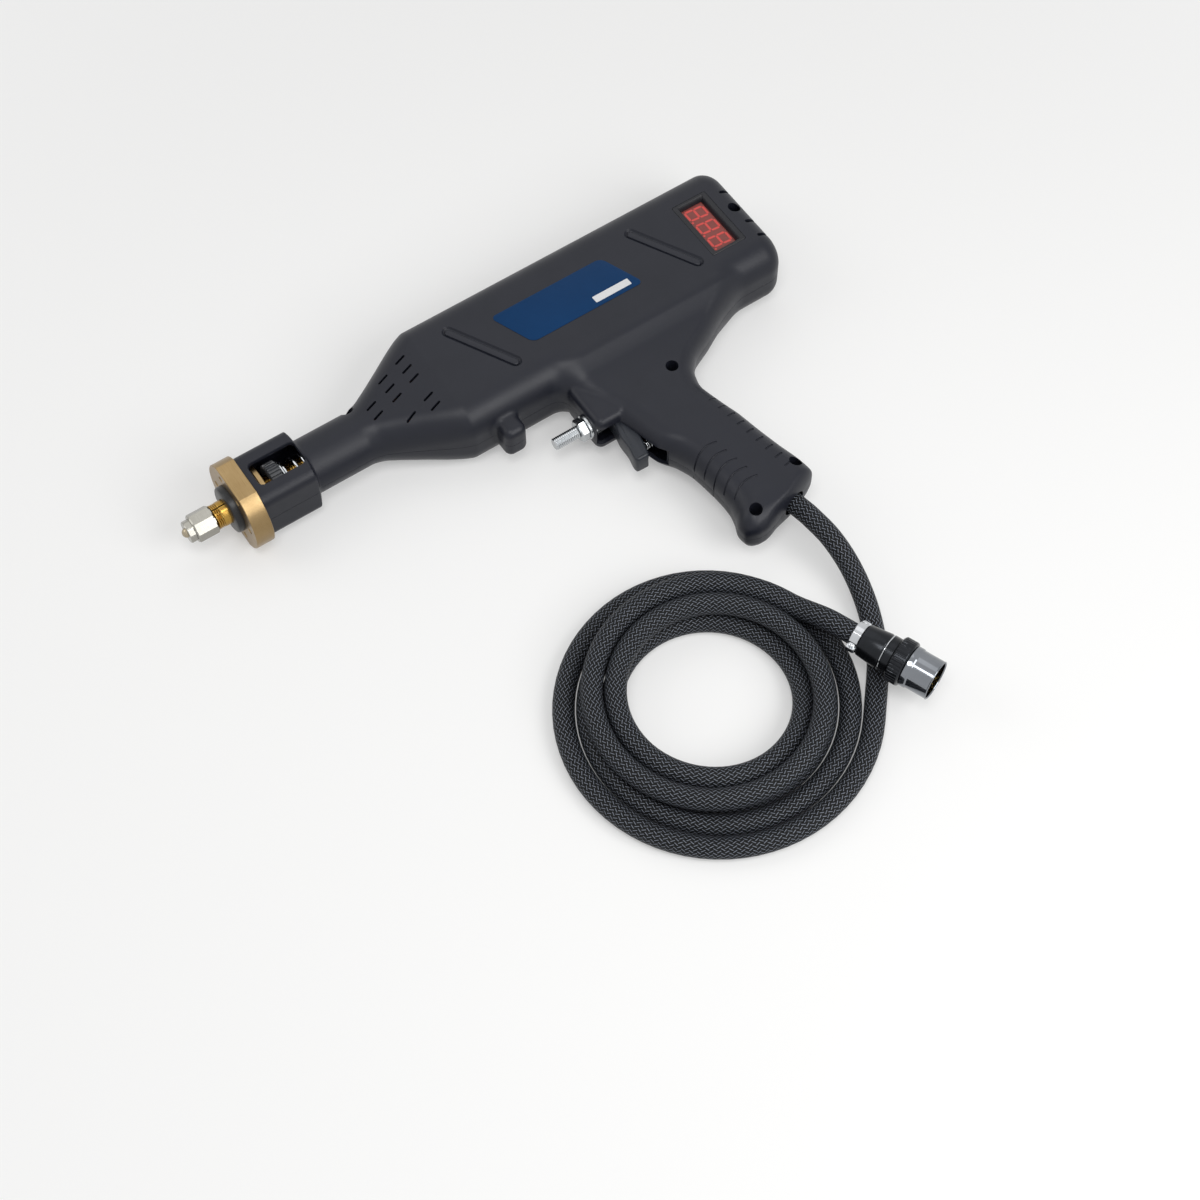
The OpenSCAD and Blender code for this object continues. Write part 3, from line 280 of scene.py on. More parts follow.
class Finishes:
    """Every finish on the object, named for the real material."""

    # Glass-filled nylon with a spark-eroded skin: blue-black, matt, with a soft wide highlight
    shell = Finish("glass_filled_nylon_charcoal", "#1a1c25", "#171921", 0.4, depth=0.03, gloss=0.28)
    # The same nylon in the wells and on the ribs: a finer skin, so edges catch a little more light
    rib = Finish("glass_filled_nylon_rib", "#1c1e27", "#181a22", 0.38, depth=0.025, gloss=0.3)
    # ABS with a fine moulded texture: black, and a touch smoother than the shell round it
    bezel = Finish("textured_abs_black", "#191a20", "#131418", 0.38, grain=0.35, gloss=0.3)
    # Printed polyester film under a satin laminate: flat deep blue with a dull sheen
    film = Finish("polyester_film_blue", "#05335d", "#052f56", 0.36, grain=0.9, depth=0.004, gloss=0.12)
    # The same film left white for writing on: flat, bright and faintly glossy
    strip = Finish("polyester_film_white", "#d9dadb", "#cfd0d2", 0.4, grain=0.9, depth=0.004, coat=0.1)
    # Red acrylic filter: smooth, with the lit segments right under it
    lens = Finish("red_acrylic", "#82403a", "#7a3934", 0.24, grain=3.0, depth=0.003, gloss=0.3)
    # Lit bars seen through the filter: a clearer red with a faint glow
    segment = Finish("lit_segment_red", "#c5403a", "#bb3934", 0.35, grain=2.0, depth=0.002, glow=0.12)
    # Cast epoxy of the display module: dull dark red
    led_body = Finish("display_epoxy", "#3a1413", "#2e1010", 0.45, grain=0.6, depth=0.01)
    # Glass-epoxy board under green lacquer: the weave shows faintly through a clear coat
    board = Finish("glass_epoxy_green", "#1f5a37", "#184a2c", 0.4, grain=0.7, depth=0.01, coat=0.3)
    # Black-oxided screws: dark, with steel showing on the crowns
    screw = Finish("blackened_steel", "#4b4c4f", "#37383a", 0.38, Pattern.TURNED, 1.0, grain=0.3,
                   depth=0.01)
    # Zinc plate on turned steel: pale and bright, with fine lathe rings
    steel = Finish("bright_zinc_steel", "#c3c6c8", "#aeb1b4", 0.24, Pattern.TURNED, 1.0, grain=0.25,
                   depth=0.006)
    # Stacked silicon-steel sheets, 0.5 mm each: dull grey with level lines
    core = Finish("laminated_silicon_steel", "#5d6064", "#3f4145", 0.45, Pattern.STACKED, 1.0,
                  depth=0.05)
    # Drawn copper: warm, with soft lines along the bar
    copper = Finish("drawn_copper", "#c08052", "#a86840", 0.32, Pattern.BRUSHED, 1.0, grain=0.4,
                    depth=0.01)
    # Enamelled wire wound in layers: red-brown ridges with a varnish shine
    winding = Finish("enamelled_winding_wire", "#9a4f24", "#6d3416", 0.3, Pattern.STACKED, 0.4,
                     grain=1.1, depth=0.15)
    # Satin brass as milled: a fine lay of cutter marks and a dull warm sheen
    brass = Finish("milled_brass", "#9c8560", "#8a734f", 0.32, Pattern.BRUSHED, 1.0, grain=0.35,
                   depth=0.012)
    # Turned and polished brass: deep yellow, with faint rings from the lathe
    polished = Finish("polished_brass", "#b08d48", "#997636", 0.24, Pattern.TURNED, 1.0, grain=0.3,
                      depth=0.006)
    # Nickel plate over turned brass: an even warm grey with soft reflections
    nickel = Finish("nickel_plate", "#a3a19a", "#99978f", 0.23, Pattern.TURNED, 1.0, grain=0.4,
                    depth=0.0012, vary=0.15)
    # Copper under thin plating: pale, with a warm cast
    tip = Finish("plated_copper_tip", "#b5ae9d", "#9c907a", 0.25, Pattern.TURNED, 1.0, grain=0.3,
                 depth=0.008)
    # Turned black nylon: satin, with faint lathe rings
    nylon = Finish("turned_black_nylon", "#232427", "#1d1e20", 0.32, Pattern.TURNED, depth=0.015,
                   gloss=0.35)
    # The same nylon moulded, painted mid grey all over: a painted sheen that stands for the highlights
    # on its flutes, which sit in shade behind the window
    fluted = Finish("moulded_nylon_painted_sheen", "#4a4c50", "#3b3d40", 0.3, depth=0.01)
    # Natural nylon, turned: ivory and a little waxy
    pale_nylon = Finish("natural_nylon", "#d6d2c3", "#c6c1b0", 0.42, Pattern.TURNED)
    # Moulded nylon with a slate tint: sets the trigger off from the shell
    trigger = Finish("moulded_nylon_slate", "#2b2e35", "#24272c", 0.4, grain=0.4, gloss=0.3)
    # Bright drawn spring wire: nearly white, with long sharp highlights
    spring = Finish("bright_spring_wire", "#d4d6d8", "#bfc2c5", 0.18, Pattern.PLATED, 1.0, grain=0.6,
                    depth=0.004)
    # Phenolic moulding: dense black with a dull sheen
    switch = Finish("phenolic_black", "#1c1c1e", "#151517", 0.4, depth=0.01)
    # Acetal: plain red, smooth, with a low sheen
    plunger = Finish("acetal_red", "#b03a2e", "#9c3027", 0.35, depth=0.01)
    # Nitrile rubber: soft black without a clear highlight
    rubber = Finish("nitrile_rubber", "#1d1e20", "#161718", 0.6, grain=0.4, depth=0.03)
    # Polyester monofilament plaited over the lead: dark strands, with a blue-grey highlight painted on their
    # crowns.
    # A real strand is 0.3 mm; bundles are drawn 4.2 mm apart along the lead so that the plait shows
    braid = Finish("plaited_polyester_sleeve", "#060708", "#7f8590", 0.36, Pattern.BRAIDED, grain=4.2,
                   depth=0.6, vary=-0.8, gloss=0.16)
    # Black chrome: a dark mirror with soft edges
    backshell = Finish("black_chrome", "#26282c", "#1f2124", 0.22, Pattern.TURNED, 0.8, grain=0.3,
                       depth=0.006, **ON_CONNECTOR)
    # Bright chrome: a clear mirror, nearly as pale as what it shows
    chrome = Finish("bright_chrome", "#c3c5c8", "#b1b4b7", 0.1, Pattern.TURNED, 1.0, grain=0.3,
                    depth=0.0006, **ON_CONNECTOR)
    # Dark chrome: the same mirror in mid grey
    dark_chrome = Finish("dark_chrome", "#85888d", "#73777c", 0.1, Pattern.TURNED, 1.0, grain=0.3,
                         depth=0.0006, **ON_CONNECTOR)
    # Glass-filled moulding in the connector's mouth: ochre, with a thin gloss
    insert = Finish("glass_filled_insert", "#9d8347", "#8a7038", 0.35, depth=0.01, coat=0.3)
    # Gold plate on the contacts: a warm yellow mirror
    gold = Finish("gold_plate", "#e6c46c", "#d2ab4c", 0.16, Pattern.PLATED, 1.0, grain=0.3, depth=0.003)


# Mesh building

def to_frame(points: Array) -> Array:
    """Moves points in gun measure, in millimetres, into the shared frame, in metres."""
    return (np.asarray(points, float) - GUN_ORIGIN) * MM


def frame_spot(x: float, y: float, z: float) -> Point:
    """One point of the gun's measure in the shared frame."""
    return tuple(to_frame(np.array([x, y, z])))


def grid_faces(rows: int, cols: int, wrap_rows: bool = False) -> list:
    """Quads between neighbouring points of a grid whose last column meets the first.

    Args:
        rows: Number of rows.
        cols: Number of columns.
        wrap_rows: Whether the last row meets the first too.

    Returns:
        Faces as lists of point numbers.
    """
    i = np.arange(rows if wrap_rows else rows - 1)[:, None]
    j = np.arange(cols)[None, :]
    i2, j2 = (i + 1) % rows, (j + 1) % cols
    quads = np.stack([i * cols + j, i2 * cols + j, i2 * cols + j2, i * cols + j2], axis=-1)
    return quads.reshape(-1, 4).tolist()


def end_faces(rows: int, cols: int) -> list:
    """A grid's first and last row as two flat faces."""
    return [list(range(cols)), list(range((rows - 1) * cols, rows * cols))]


def join_shapes(shapes: Sequence[Shape]) -> Shape:
    """Puts several shapes into one list of points and faces.

    Args:
        shapes: The shapes.

    Returns:
        The joined shape.
    """
    faces, count = [], 0
    for verts, polys in shapes:
        faces += [(np.array(poly) + count).tolist() for poly in polys]
        count += len(verts)
    return np.concatenate([verts for verts, _ in shapes]), faces


def unit(rows: Array) -> Array:
    """Each row divided by its length."""
    return rows / np.linalg.norm(rows, axis=-1, keepdims=True)


def run_along(path: Array) -> Array:
    """Distance along a path at each of its points."""
    return np.concatenate([[0], np.cumsum(np.linalg.norm(np.diff(path, axis=0), axis=1))])


@dataclass(frozen=True)
class Axis:
    """A straight axis: a point on it, its way, and the direction from which angles are counted."""

    origin: Point
    way: Point = (1, 0, 0)
    side: Point = (0, 1, 0)

    def place(self, s: Array, r: Array, theta: Array) -> Array:
        """Point = origin + s way + r cos(theta) side + r sin(theta) (way x side).

        Args:
            s: Distance along the axis.
            r: Distance from the axis.
            theta: Angle round the axis.

        Returns:
            The points, with X, Y and Z last.
        """
        way, side = np.array(self.way, float), np.array(self.side, float)
        lift = np.cross(way, side)
        s, r, theta = np.broadcast_arrays(s, r, theta)
        return (np.array(self.origin, float) + s[..., None] * way
                + (r * np.cos(theta))[..., None] * side + (r * np.sin(theta))[..., None] * lift)


NOSE_AXIS = Axis((0, 0, AXIS_Z))


def upright(x: float, y: float, z: float = 0.0) -> Axis:
    """An axis that stands up from a point."""
    return Axis((x, y, z), (0, 0, 1), (1, 0, 0))


def even_turn(steps: int) -> Array:
    """Even angles once round, without the last."""
    return np.linspace(0, TURN, steps, endpoint=False)


def lathe(axis: Axis, profile: Profile, sides: int = 64, closed: bool = False,
          wave: Optional[Wave] = None, theta: Optional[Array] = None) -> Shape:
    """Carries a profile of (distance along, radius) round an axis.

    Args:
        axis: The axis.
        profile: The profile's points.
        sides: Number of steps round.
        closed: Whether the profile is a loop, as on a ring with a bore.
        wave: Changes the radius as a function of distance, radius and angle.
        theta: The angles, where even steps won't do.

    Returns:
        The shape.
    """
    table = np.array(profile, float)
    theta = even_turn(sides) if theta is None else theta
    s, r = table[:, :1], table[:, 1:]
    radius = wave(s, r, theta[None, :]) if wave else r
    verts = axis.place(s, radius, theta[None, :]).reshape(-1, 3)
    rows, cols = len(table), len(theta)
    faces = grid_faces(rows, cols, wrap_rows=closed)
    return verts, faces if closed else faces + end_faces(rows, cols)


def ring_profile(start: float, end: float, outer: float, inner: float, edge: float) -> Profile:
    """A ring's section as a loop with broken edges, between two places along its axis."""
    half = edge / 2
    return [(start, inner + half), (start, outer - edge), (start + edge, outer), (end - edge, outer),
            (end, outer - edge), (end, inner + half), (end - half, inner), (start + half, inner)]


def rod_profile(start: float, end: float, radius: float, edge: float) -> Profile:
    """A round bar's profile with broken edges, closed at both ends."""
    return [(start, 0), (start, radius - edge), (start + edge, radius), (end - edge, radius),
            (end, radius - edge), (end, 0)]


def prism_wave(flats: int, half_flat: float, turn: float = 0.0) -> Wave:
    """Holds a round profile within flats.

    Radius = the smaller of the profile's own and half_flat / cos(angle to the middle of the flat).

    Args:
        flats: Number of flats.
        half_flat: Distance from the axis to a flat.
        turn: Angle of the first flat.

    Returns:
        A radius function for lathe.
    """
    step = TURN / flats

    def held(s: Array, r: Array, theta: Array) -> Array:
        """Radius at each point."""
        off = (theta - turn + step / 2) % step - step / 2
        return np.minimum(r, half_flat / np.cos(off)) + 0 * s

    return held


def sweep(path: Array, radius: float, sides: int, up: Point = (0, 0, 1)) -> Shape:
    """Carries a circle along a path: each ring stands square to the chord through its neighbours.

    Args:
        path: Points as rows.
        radius: The circle's radius.
        sides: Number of steps round.
        up: A direction that the path never takes.

    Returns:
        The shape.
    """
    way = unit(np.gradient(path, axis=0))
    side = unit(np.cross(way, np.array(up, float)))
    lift = np.cross(side, way)
    theta = even_turn(sides)
    verts = (path[:, None, :] + radius * np.cos(theta)[None, :, None] * lift[:, None, :]
             + radius * np.sin(theta)[None, :, None] * side[:, None, :]).reshape(-1, 3)
    return verts, grid_faces(len(path), sides) + end_faces(len(path), sides)


def on_side(flat: Array, height: float) -> Array:
    """Flat points in X and Y at a height in Z."""
    return np.column_stack([flat, np.full(len(flat), height)])


def slab(outline: Array, levels: Profile,
         stand: Callable[[Array, float], Array] = on_side) -> Shape:
    """Stacks copies of a closed outline, each drawn in towards its middle by an inset.

    Args:
        outline: Points in two columns, counted round.
        levels: Height and inset of each copy.
        stand: Turns flat points and a height into points in space.

    Returns:
        The shape.
    """
    along = unit(np.roll(outline, -1, axis=0) - np.roll(outline, 1, axis=0))
    inward = np.stack([-along[:, 1], along[:, 0]], axis=1)
    middle = outline.mean(axis=0)
    inward *= np.where(((middle - outline) * inward).sum(axis=1).mean() > 0, 1.0, -1.0)
    verts = np.concatenate([stand(outline + inset * inward, height) for height, inset in levels])
    rows, cols = len(levels), len(outline)
    return verts, grid_faces(rows, cols) + end_faces(rows, cols)


def rounded_outline(width: float, height: float, radius: float, steps: int = 6,
                    lean: float = 0.0) -> Array:
    """A rectangle with round corners; lean shifts each point along X by -lean times its height.

    Args:
        width: Size along X.
        height: Size along Y.
        radius: Corner radius.
        steps: Steps in each corner.
        lean: Shift along X for each unit of Y.

    Returns:
        The outline, counted anticlockwise.
    """
    quarter = np.linspace(0, math.pi / 2, steps + 1)
    angle = np.concatenate([quarter + k * math.pi / 2 for k in range(4)])
    sign_x = np.repeat([1, -1, -1, 1], steps + 1)
    sign_y = np.repeat([1, 1, -1, -1], steps + 1)
    x = sign_x * (width / 2 - radius) + radius * np.cos(angle)
    y = sign_y * (height / 2 - radius) + radius * np.sin(angle)
    return np.stack([x - lean * y, y], axis=1)


def stadium(length: float, radius: float, turn: float, centre: Sequence[float],
            steps: int) -> Array:
    """A straight slot with round ends.

    Args:
        length: Distance between the ends' centres.
        radius: Half the width.
        turn: Angle of its length.
        centre: Its middle in X and Y.
        steps: Steps in each end.

    Returns:
        The outline.
    """
    half = np.linspace(-math.pi / 2, math.pi / 2, steps + 1)
    x = np.concatenate([length / 2 + radius * np.cos(half), -length / 2 - radius * np.cos(half)])
    y = np.concatenate([radius * np.sin(half), -radius * np.sin(half)])
    return np.stack([centre[0] + x * math.cos(turn) - y * math.sin(turn),
                     centre[1] + x * math.sin(turn) + y * math.cos(turn)], axis=1)


# Points nearer than this, in metres, are one point
MERGE = 1e-7


def clean_mesh(mesh: bpy.types.Mesh, angle: float) -> None:
    """Merges doubled points, turns faces outwards and marks the sharp edges.

    Args:
        mesh: The mesh.
        angle: Edges sharper than this, in degrees, stay sharp in shading.
    """
    work = bmesh.new()
    work.from_mesh(mesh)
    bmesh.ops.remove_doubles(work, verts=work.verts, dist=MERGE)
    bmesh.ops.recalc_face_normals(work, faces=work.faces)
    work.to_mesh(mesh)
    work.free()
    mesh.shade_smooth()
    mesh.set_sharp_from_angle(angle=math.radians(angle))


def read_all(items: bpy.types.bpy_prop_collection, name: str, kind: type, width: int = 1) -> Array:
    """Reads one value of every vertex, face or corner of a mesh at once.

    Args:
        items: The mesh's vertices, polygons or loops.
        name: The value's name.
        kind: The type of number.
        width: Numbers in each value.

    Returns:
        The values, as rows where they have several numbers.
    """
    values = np.empty(len(items) * width, kind)
    items.foreach_get(name, values)
    return values.reshape(-1, width) if width > 1 else values


def make_object(name: str, shape: Shape) -> bpy.types.Object:
    """Puts a shape in gun measure into a mesh and links its object.

    Args:
        name: The object's name.
        shape: Points and faces.

    Returns:
        The object, at the origin.
    """
    mesh = bpy.data.meshes.new(name)
    mesh.from_pydata(to_frame(shape[0]).tolist(), [], shape[1])
    made = bpy.data.objects.new(name, mesh)
    bpy.context.scene.collection.objects.link(made)
    return made


def add_piece(name: str, shape: Shape, finish: Finish, slot: str, body: str = "gun",
              replaces: Sequence[str] = (), angle: float = 32.0, rides: bool = True,
              uv: Optional[Array] = None) -> bpy.types.Object:
    """Makes a piece from a shape, dresses it and lets it ride on a body.

    Args:
        name: The piece's name.
        shape: Points in gun measure, and faces.
        finish: Its finish.
        slot: The record's material slot; it is not used.
        body: The body that it moves with.
        replaces: CAD nodes that it stands for.
        angle: Edges sharper than this stay sharp.
        rides: Whether it rides on its body now; if not, it has no parent.
        uv: Its own UV map, a row for each face's corners in turn.

    Returns:
        The object.
    """
    piece = make_object(name, shape)
    if uv is not None:
        layer = piece.data.uv_layers.new(name="length_round")
        layer.data.foreach_set("uv", uv.ravel().astype(np.float32))
    clean_mesh(piece.data, angle)
    piece.data.materials.append(finish.material())
    if replaces:
        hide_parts(*replaces)
    if rides:
        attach(piece, body)
    LOG.info("%s: %d faces on %s", name, len(piece.data.polygons), body)
    return piece


def drop_fins(mesh: bpy.types.Mesh) -> None:
    """Splits the faces into triangles and takes out pairs on the same points, which a cut can leave.

    Args:
        mesh: The mesh.
    """
    work = bmesh.new()
    work.from_mesh(mesh)
    bmesh.ops.triangulate(work, faces=work.faces[:])
    work.to_mesh(mesh)
    corners = np.sort(read_all(mesh.loops, "vertex_index", np.int32).reshape(-1, 3), axis=1)
    _, which, count = np.unique(corners, axis=0, return_inverse=True, return_counts=True)
    work.faces.ensure_lookup_table()
    twins = [work.faces[k] for k in np.flatnonzero(count[which.ravel()] > 1)]
    bmesh.ops.delete(work, geom=twins, context="FACES")
    work.to_mesh(mesh)
    work.free()


def cut(piece: bpy.types.Object, cutters: Sequence[Shape], angle: float) -> None:
    """Takes the cutters out of a piece.

    Args:
        piece: The piece, which keeps its finish.
        cutters: Closed shapes in gun measure, which don't meet each other.
        angle: Edges sharper than this stay sharp.
    """
    tool = make_object("cutter", join_shapes(cutters))
    clean_mesh(tool.data, angle)
    step = piece.modifiers.new("cuts", "BOOLEAN")
    step.object, step.operation, step.solver = tool, "DIFFERENCE", "EXACT"
    bpy.context.view_layer.update()
    graph = bpy.context.evaluated_depsgraph_get()
    done = bpy.data.meshes.new_from_object(piece.evaluated_get(graph))
    piece.modifiers.clear()
    spent, piece.data = (piece.data, tool.data), done
    bpy.data.objects.remove(tool)
    for mesh in spent:
        bpy.data.meshes.remove(mesh)
    drop_fins(done)
    clean_mesh(done, angle)


def dress(finish: Finish, *nodes: str) -> None:
    """Gives CAD nodes whose shape stays their finish.

    Args:
        finish: The finish.
        nodes: The nodes' names.
    """
    for name in nodes:
        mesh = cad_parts[name].data
        mesh.materials.clear()
        mesh.materials.append(finish.material())
        LOG.info("%s keeps its CAD shape", name)


# Housing

def smooth_table(knots: Array, values: Array, count: int = 400) -> tuple[Array, Array]:
    """Reads a table as a smooth curve that doesn't overshoot.

    The curve is made of cubic pieces whose slope at a knot is the harmonic mean of the slopes on both
    sides, or none where they disagree.

    Args:
        knots: Rising places.
        values: Values there.
        count: Number of places to read.

    Returns:
        Even places and their values.
    """
    width, slope = np.diff(knots), np.diff(values) / np.diff(knots)
    left, right = slope[:-1], slope[1:]
    agree = left * right > 0
    mean = np.where(agree, 2 * left * right / np.where(agree, left + right, 1), 0)
    grade = np.concatenate([[slope[0]], mean, [slope[-1]]])
    x = np.linspace(knots[0], knots[-1], count)
    k = np.clip(np.searchsorted(knots, x, side="right") - 1, 0, len(width) - 1)
    h = width[k]
    t = (x - knots[k]) / h
    a, b = (1 + 2 * t) * (1 - t) ** 2, t * (1 - t) ** 2
    c, d = t * t * (3 - 2 * t), t * t * (t - 1)
    return x, a * values[k] + b * h * grade[k] + c * values[k + 1] + d * h * grade[k + 1]


def soft_min(a: Array, b: Array, width: float) -> Array:
    """The smaller of two distances, with a round fillet of about the given width where they meet."""
    h = np.clip(0.5 + 0.5 * (b - a) / width, 0, 1)
    return b + (a - b) * h - width * h * (1 - h)


def round_rect(u: Array, v: Array, half_u: Array, half_v: Array, radius: Array) -> Array:
    """Distance from a rectangle with round corners in two measures."""
    du, dv = np.abs(u) - (half_u - radius), np.abs(v) - (half_v - radius)
    return np.hypot(np.maximum(du, 0), np.maximum(dv, 0)) + np.minimum(np.maximum(du, dv), 0) - radius


def round_both(a: Array, b: Array, radius: float) -> Array:
    """Distance from what two bounds share, with the edge between them rounded."""
    a, b = a + radius, b + radius
    return np.minimum(np.maximum(a, b), 0) + np.hypot(np.maximum(a, 0), np.maximum(b, 0)) - radius


@dataclass(frozen=True)
class Boss:
    """A rounded boss under the body: where it starts along X, its sizes and its edges' radius."""

    front: float
    depth: float
    drop: float
    half: float
    edge: float


@dataclass
class HousingForm:
    """The housing's outside as one distance field, with the sizes of the CAD housing.

    A row of the taper's table gives a share of its length and of its growth. A row of the grip's
    gives a share of its drop, then its front, its back and its half thickness as shares.
    """

    length: float = 361.0
    half_height: float = 44.0
    half_thickness: float = 25.0
    edge: float = 18.0
    rear_edge: float = 12.0
    barrel_half: float = 20.0
    barrel_edge: float = 7.0
    neck: float = 17.6
    barrel_end: float = 38.0
    step_run: float = 2.5
    overrun: float = 9.0
    taper_start: float = 74.0
    taper_length: float = 58.0
    taper_shares: tuple = ((0, 0), (0.12, 0.05), (0.26, 0.19), (0.5, 0.47), (0.8, 0.83),
                           (0.92, 0.95), (1, 1))
    taper_steps: int = 1600
    grip_x: float = 232.8
    grip_lean: float = 0.19
    grip_depth: float = 50.0
    grip_half: float = 16.5
    grip_drop: float = 149.0
    grip_shares: tuple = (
        (-0.03, -0.80, 1.90, 1.40), (0.013, -0.82, 1.70, 1.25), (0.054, -0.81, 1.43, 1.12),
        (0.10, -0.77, 1.16, 1.05), (0.168, -0.71, 0.74, 1.00), (0.24, -0.65, 0.54, 1.00),
        (0.32, -0.62, 0.46, 1.00), (0.436, -0.60, 0.48, 1.00), (0.516, -0.50, 0.50, 1.00),
        (0.597, -0.46, 0.50, 1.00), (0.718, -0.48, 0.51, 1.00), (0.819, -0.53, 0.53, 1.00),
        (0.877, -0.60, 0.52, 1.00), (0.933, -0.69, 0.22, 0.95), (0.967, -0.70, -0.16, 0.82),
        (1.00, -0.60, -0.42, 0.50))
    grip_round: float = 0.85
    grip_toe_edge: float = 3.0
    grip_top: float = 34.0
    grip_top_edge: float = 4.0
    grip_fillet: float = 9.0
    boss_top: float = 36.0
    boss_top_edge: float = 2.0
    hood: Boss = Boss(193.5, 24.0, 38.0, 14.0, 5.0)
    hood_step: float = 4.5
    hood_fillet: float = 2.0
    arch_top: float = 45.5
    arch_fall: float = 5.0
    arch_middle: float = 204.0
    arch_half: float = 13.0
    arch_edge: float = 3.0
    arch_fillet: float = 1.2
    lobe: Boss = Boss(145.0, 15.0, 13.0, 12.0, 5.0)
    lobe_fillet: float = 3.0
    probe: float = 0.05
    least_slope: float = 0.05
    halvings: int = 24
    settlings: int = 3

    def body(self, x: Array, y: Array, z: Array) -> Array:
        """Barrel, neck, taper and body: a rounded section whose half sizes and edge follow X.

        Args:
            x, y, z: The points' places in gun measure.

        Returns:
            Distance from the body's outside.
        """
        taper = np.array(self.taper_shares)
        place = self.taper_start + taper[:, 0] * self.taper_length
        knots = np.concatenate([[-self.overrun, self.barrel_end - self.step_run, self.barrel_end],
                                place, [self.length + self.overrun]])
        rows = []
        for front, back in ((self.barrel_half, self.half_height),
                            (self.barrel_half, self.half_thickness), (self.barrel_edge, self.edge)):
            grown = self.neck + taper[:, 1] * (back - self.neck)
            column = np.concatenate([[front, front, self.neck], grown, [back]])
            rows.append(np.interp(x, *smooth_table(knots, column, self.taper_steps)))
        half_y, half_z, edge = rows
        section = round_rect(y, z - AXIS_Z, half_y, half_z,
                             np.minimum(edge, np.minimum(half_y, half_z)))
        return round_both(section, x - self.length, self.rear_edge)

    def grip(self, x: Array, y: Array, z: Array) -> Array:
        """The grip: a rounded section whose edges follow its drop below the body.

        Args:
            x, y, z: The points' places in gun measure.

        Returns:
            Distance from the grip's outside.
        """
        table = np.array(self.grip_shares)
        share = (-self.half_height - y) / self.grip_drop
        front, back, half = (np.interp(share, *smooth_table(table[:, 0], table[:, k]))
                             for k in (1, 2, 3))
        middle = self.grip_x + self.grip_lean * share * self.grip_drop
        half_x, half_z = (back - front) / 2 * self.grip_depth, half * self.grip_half
        section = round_rect(x - middle - (front + back) / 2 * self.grip_depth, z - AXIS_Z,
                             half_x, half_z, self.grip_round * np.minimum(half_x, half_z))
        toe = -self.half_height - self.grip_drop - y
        ended = round_both(section, toe, self.grip_toe_edge)
        return round_both(ended, y + self.grip_top, self.grip_top_edge)

    def boss(self, x: Array, y: Array, z: Array, boss: Boss) -> Array:
        """Distance from a rounded boss that hangs from the body's lower edge."""
        section = round_rect(x - boss.front - boss.depth / 2, z - AXIS_Z, boss.depth / 2, boss.half,
                             boss.edge)
        return round_both(round_both(section, -self.half_height - boss.drop - y, boss.edge),
                          y + self.boss_top, self.boss_top_edge)

    def distance(self, points: Array) -> Array:
        """Distance from the housing's outside, less than nothing inside.

        The hood is a narrow boss inside a wide one whose top is an arch, a parabola along X.

        Args:
            points: Points with X, Y and Z last.

        Returns:
            The distances.
        """
        x, y, z = points[..., 0], points[..., 1], points[..., 2]
        narrow = replace(self.hood, half=self.hood.half - self.hood_step)
        arch = y + self.arch_top + self.arch_fall * ((x - self.arch_middle) / self.arch_half) ** 2
        wide = round_both(self.boss(x, y, z, self.hood), arch, self.arch_edge)
        form = soft_min(self.body(x, y, z), self.grip(x, y, z), self.grip_fillet)
        form = soft_min(form, self.boss(x, y, z, narrow), self.hood_fillet)
        form = soft_min(form, wide, self.arch_fillet)
        return soft_min(form, self.boss(x, y, z, self.lobe), self.lobe_fillet)

    def normal(self, points: Array) -> Array:
        """Slope of the distance by central differences."""
        return np.stack([(self.distance(points + step) - self.distance(points - step))
                         / (2 * self.probe) for step in self.probe * np.eye(3)], axis=-1)

    def drawn(self, points: Array, depth: float = 0.0) -> Array:
        """Moves points along the slope of the distance, by what they lack divided by its square.

        Args:
            points: The points.
            depth: How deep under the outside they should come.

        Returns:
            The moved points.
        """
        slope = self.normal(points)
        steep = np.maximum((slope ** 2).sum(axis=-1), self.least_slope)
        return points - ((self.distance(points) + depth) / steep)[:, None] * slope

    def side_height(self, flat: Array) -> Array:
        """Height of the left side over points in X and Y, by halving.

        Args:
            flat: Points in two columns.

        Returns:
            The heights.
        """
        low, high = np.full(len(flat), AXIS_Z), np.full(len(flat), 2 * AXIS_Z + 1)
        for _ in range(self.halvings):
            middle = (low + high) / 2
            inside = self.distance(np.column_stack([flat, middle])) < 0
            low, high = np.where(inside, middle, low), np.where(inside, high, middle)
        return low

    def skin(self, step: float) -> Shape:
        """Surface net over the left half.

        There is one point in each cell that the surface passes, at the mean of the crossings on its
        edges and then drawn on to the surface, and one quad for each grid edge that crosses it.

        Args:
            step: Cell size.

        Returns:
            Points and faces of the open half skin.
        """
        margin = 3 * step
        low = np.array([-4 * step, -self.half_height - self.grip_drop - margin, AXIS_Z - margin])
        high = np.array([self.length + margin, self.half_height + margin, 2 * AXIS_Z + margin])
        size = np.ceil((high - low) / step).astype(int) + 1
        ticks = [low[k] + step * np.arange(size[k]) for k in range(3)]
        value = self.distance(np.stack(np.meshgrid(*ticks, indexing="ij"), axis=-1))
        passed, offset = self._crossings(value)
        points = low + step * (np.argwhere(passed) + offset)
        for _ in range(self.settlings):
            points = self.drawn(points)
        number = np.full(passed.shape, -1)
        number[passed] = np.arange(len(points))
        return points, self._net_faces(value < 0, number)

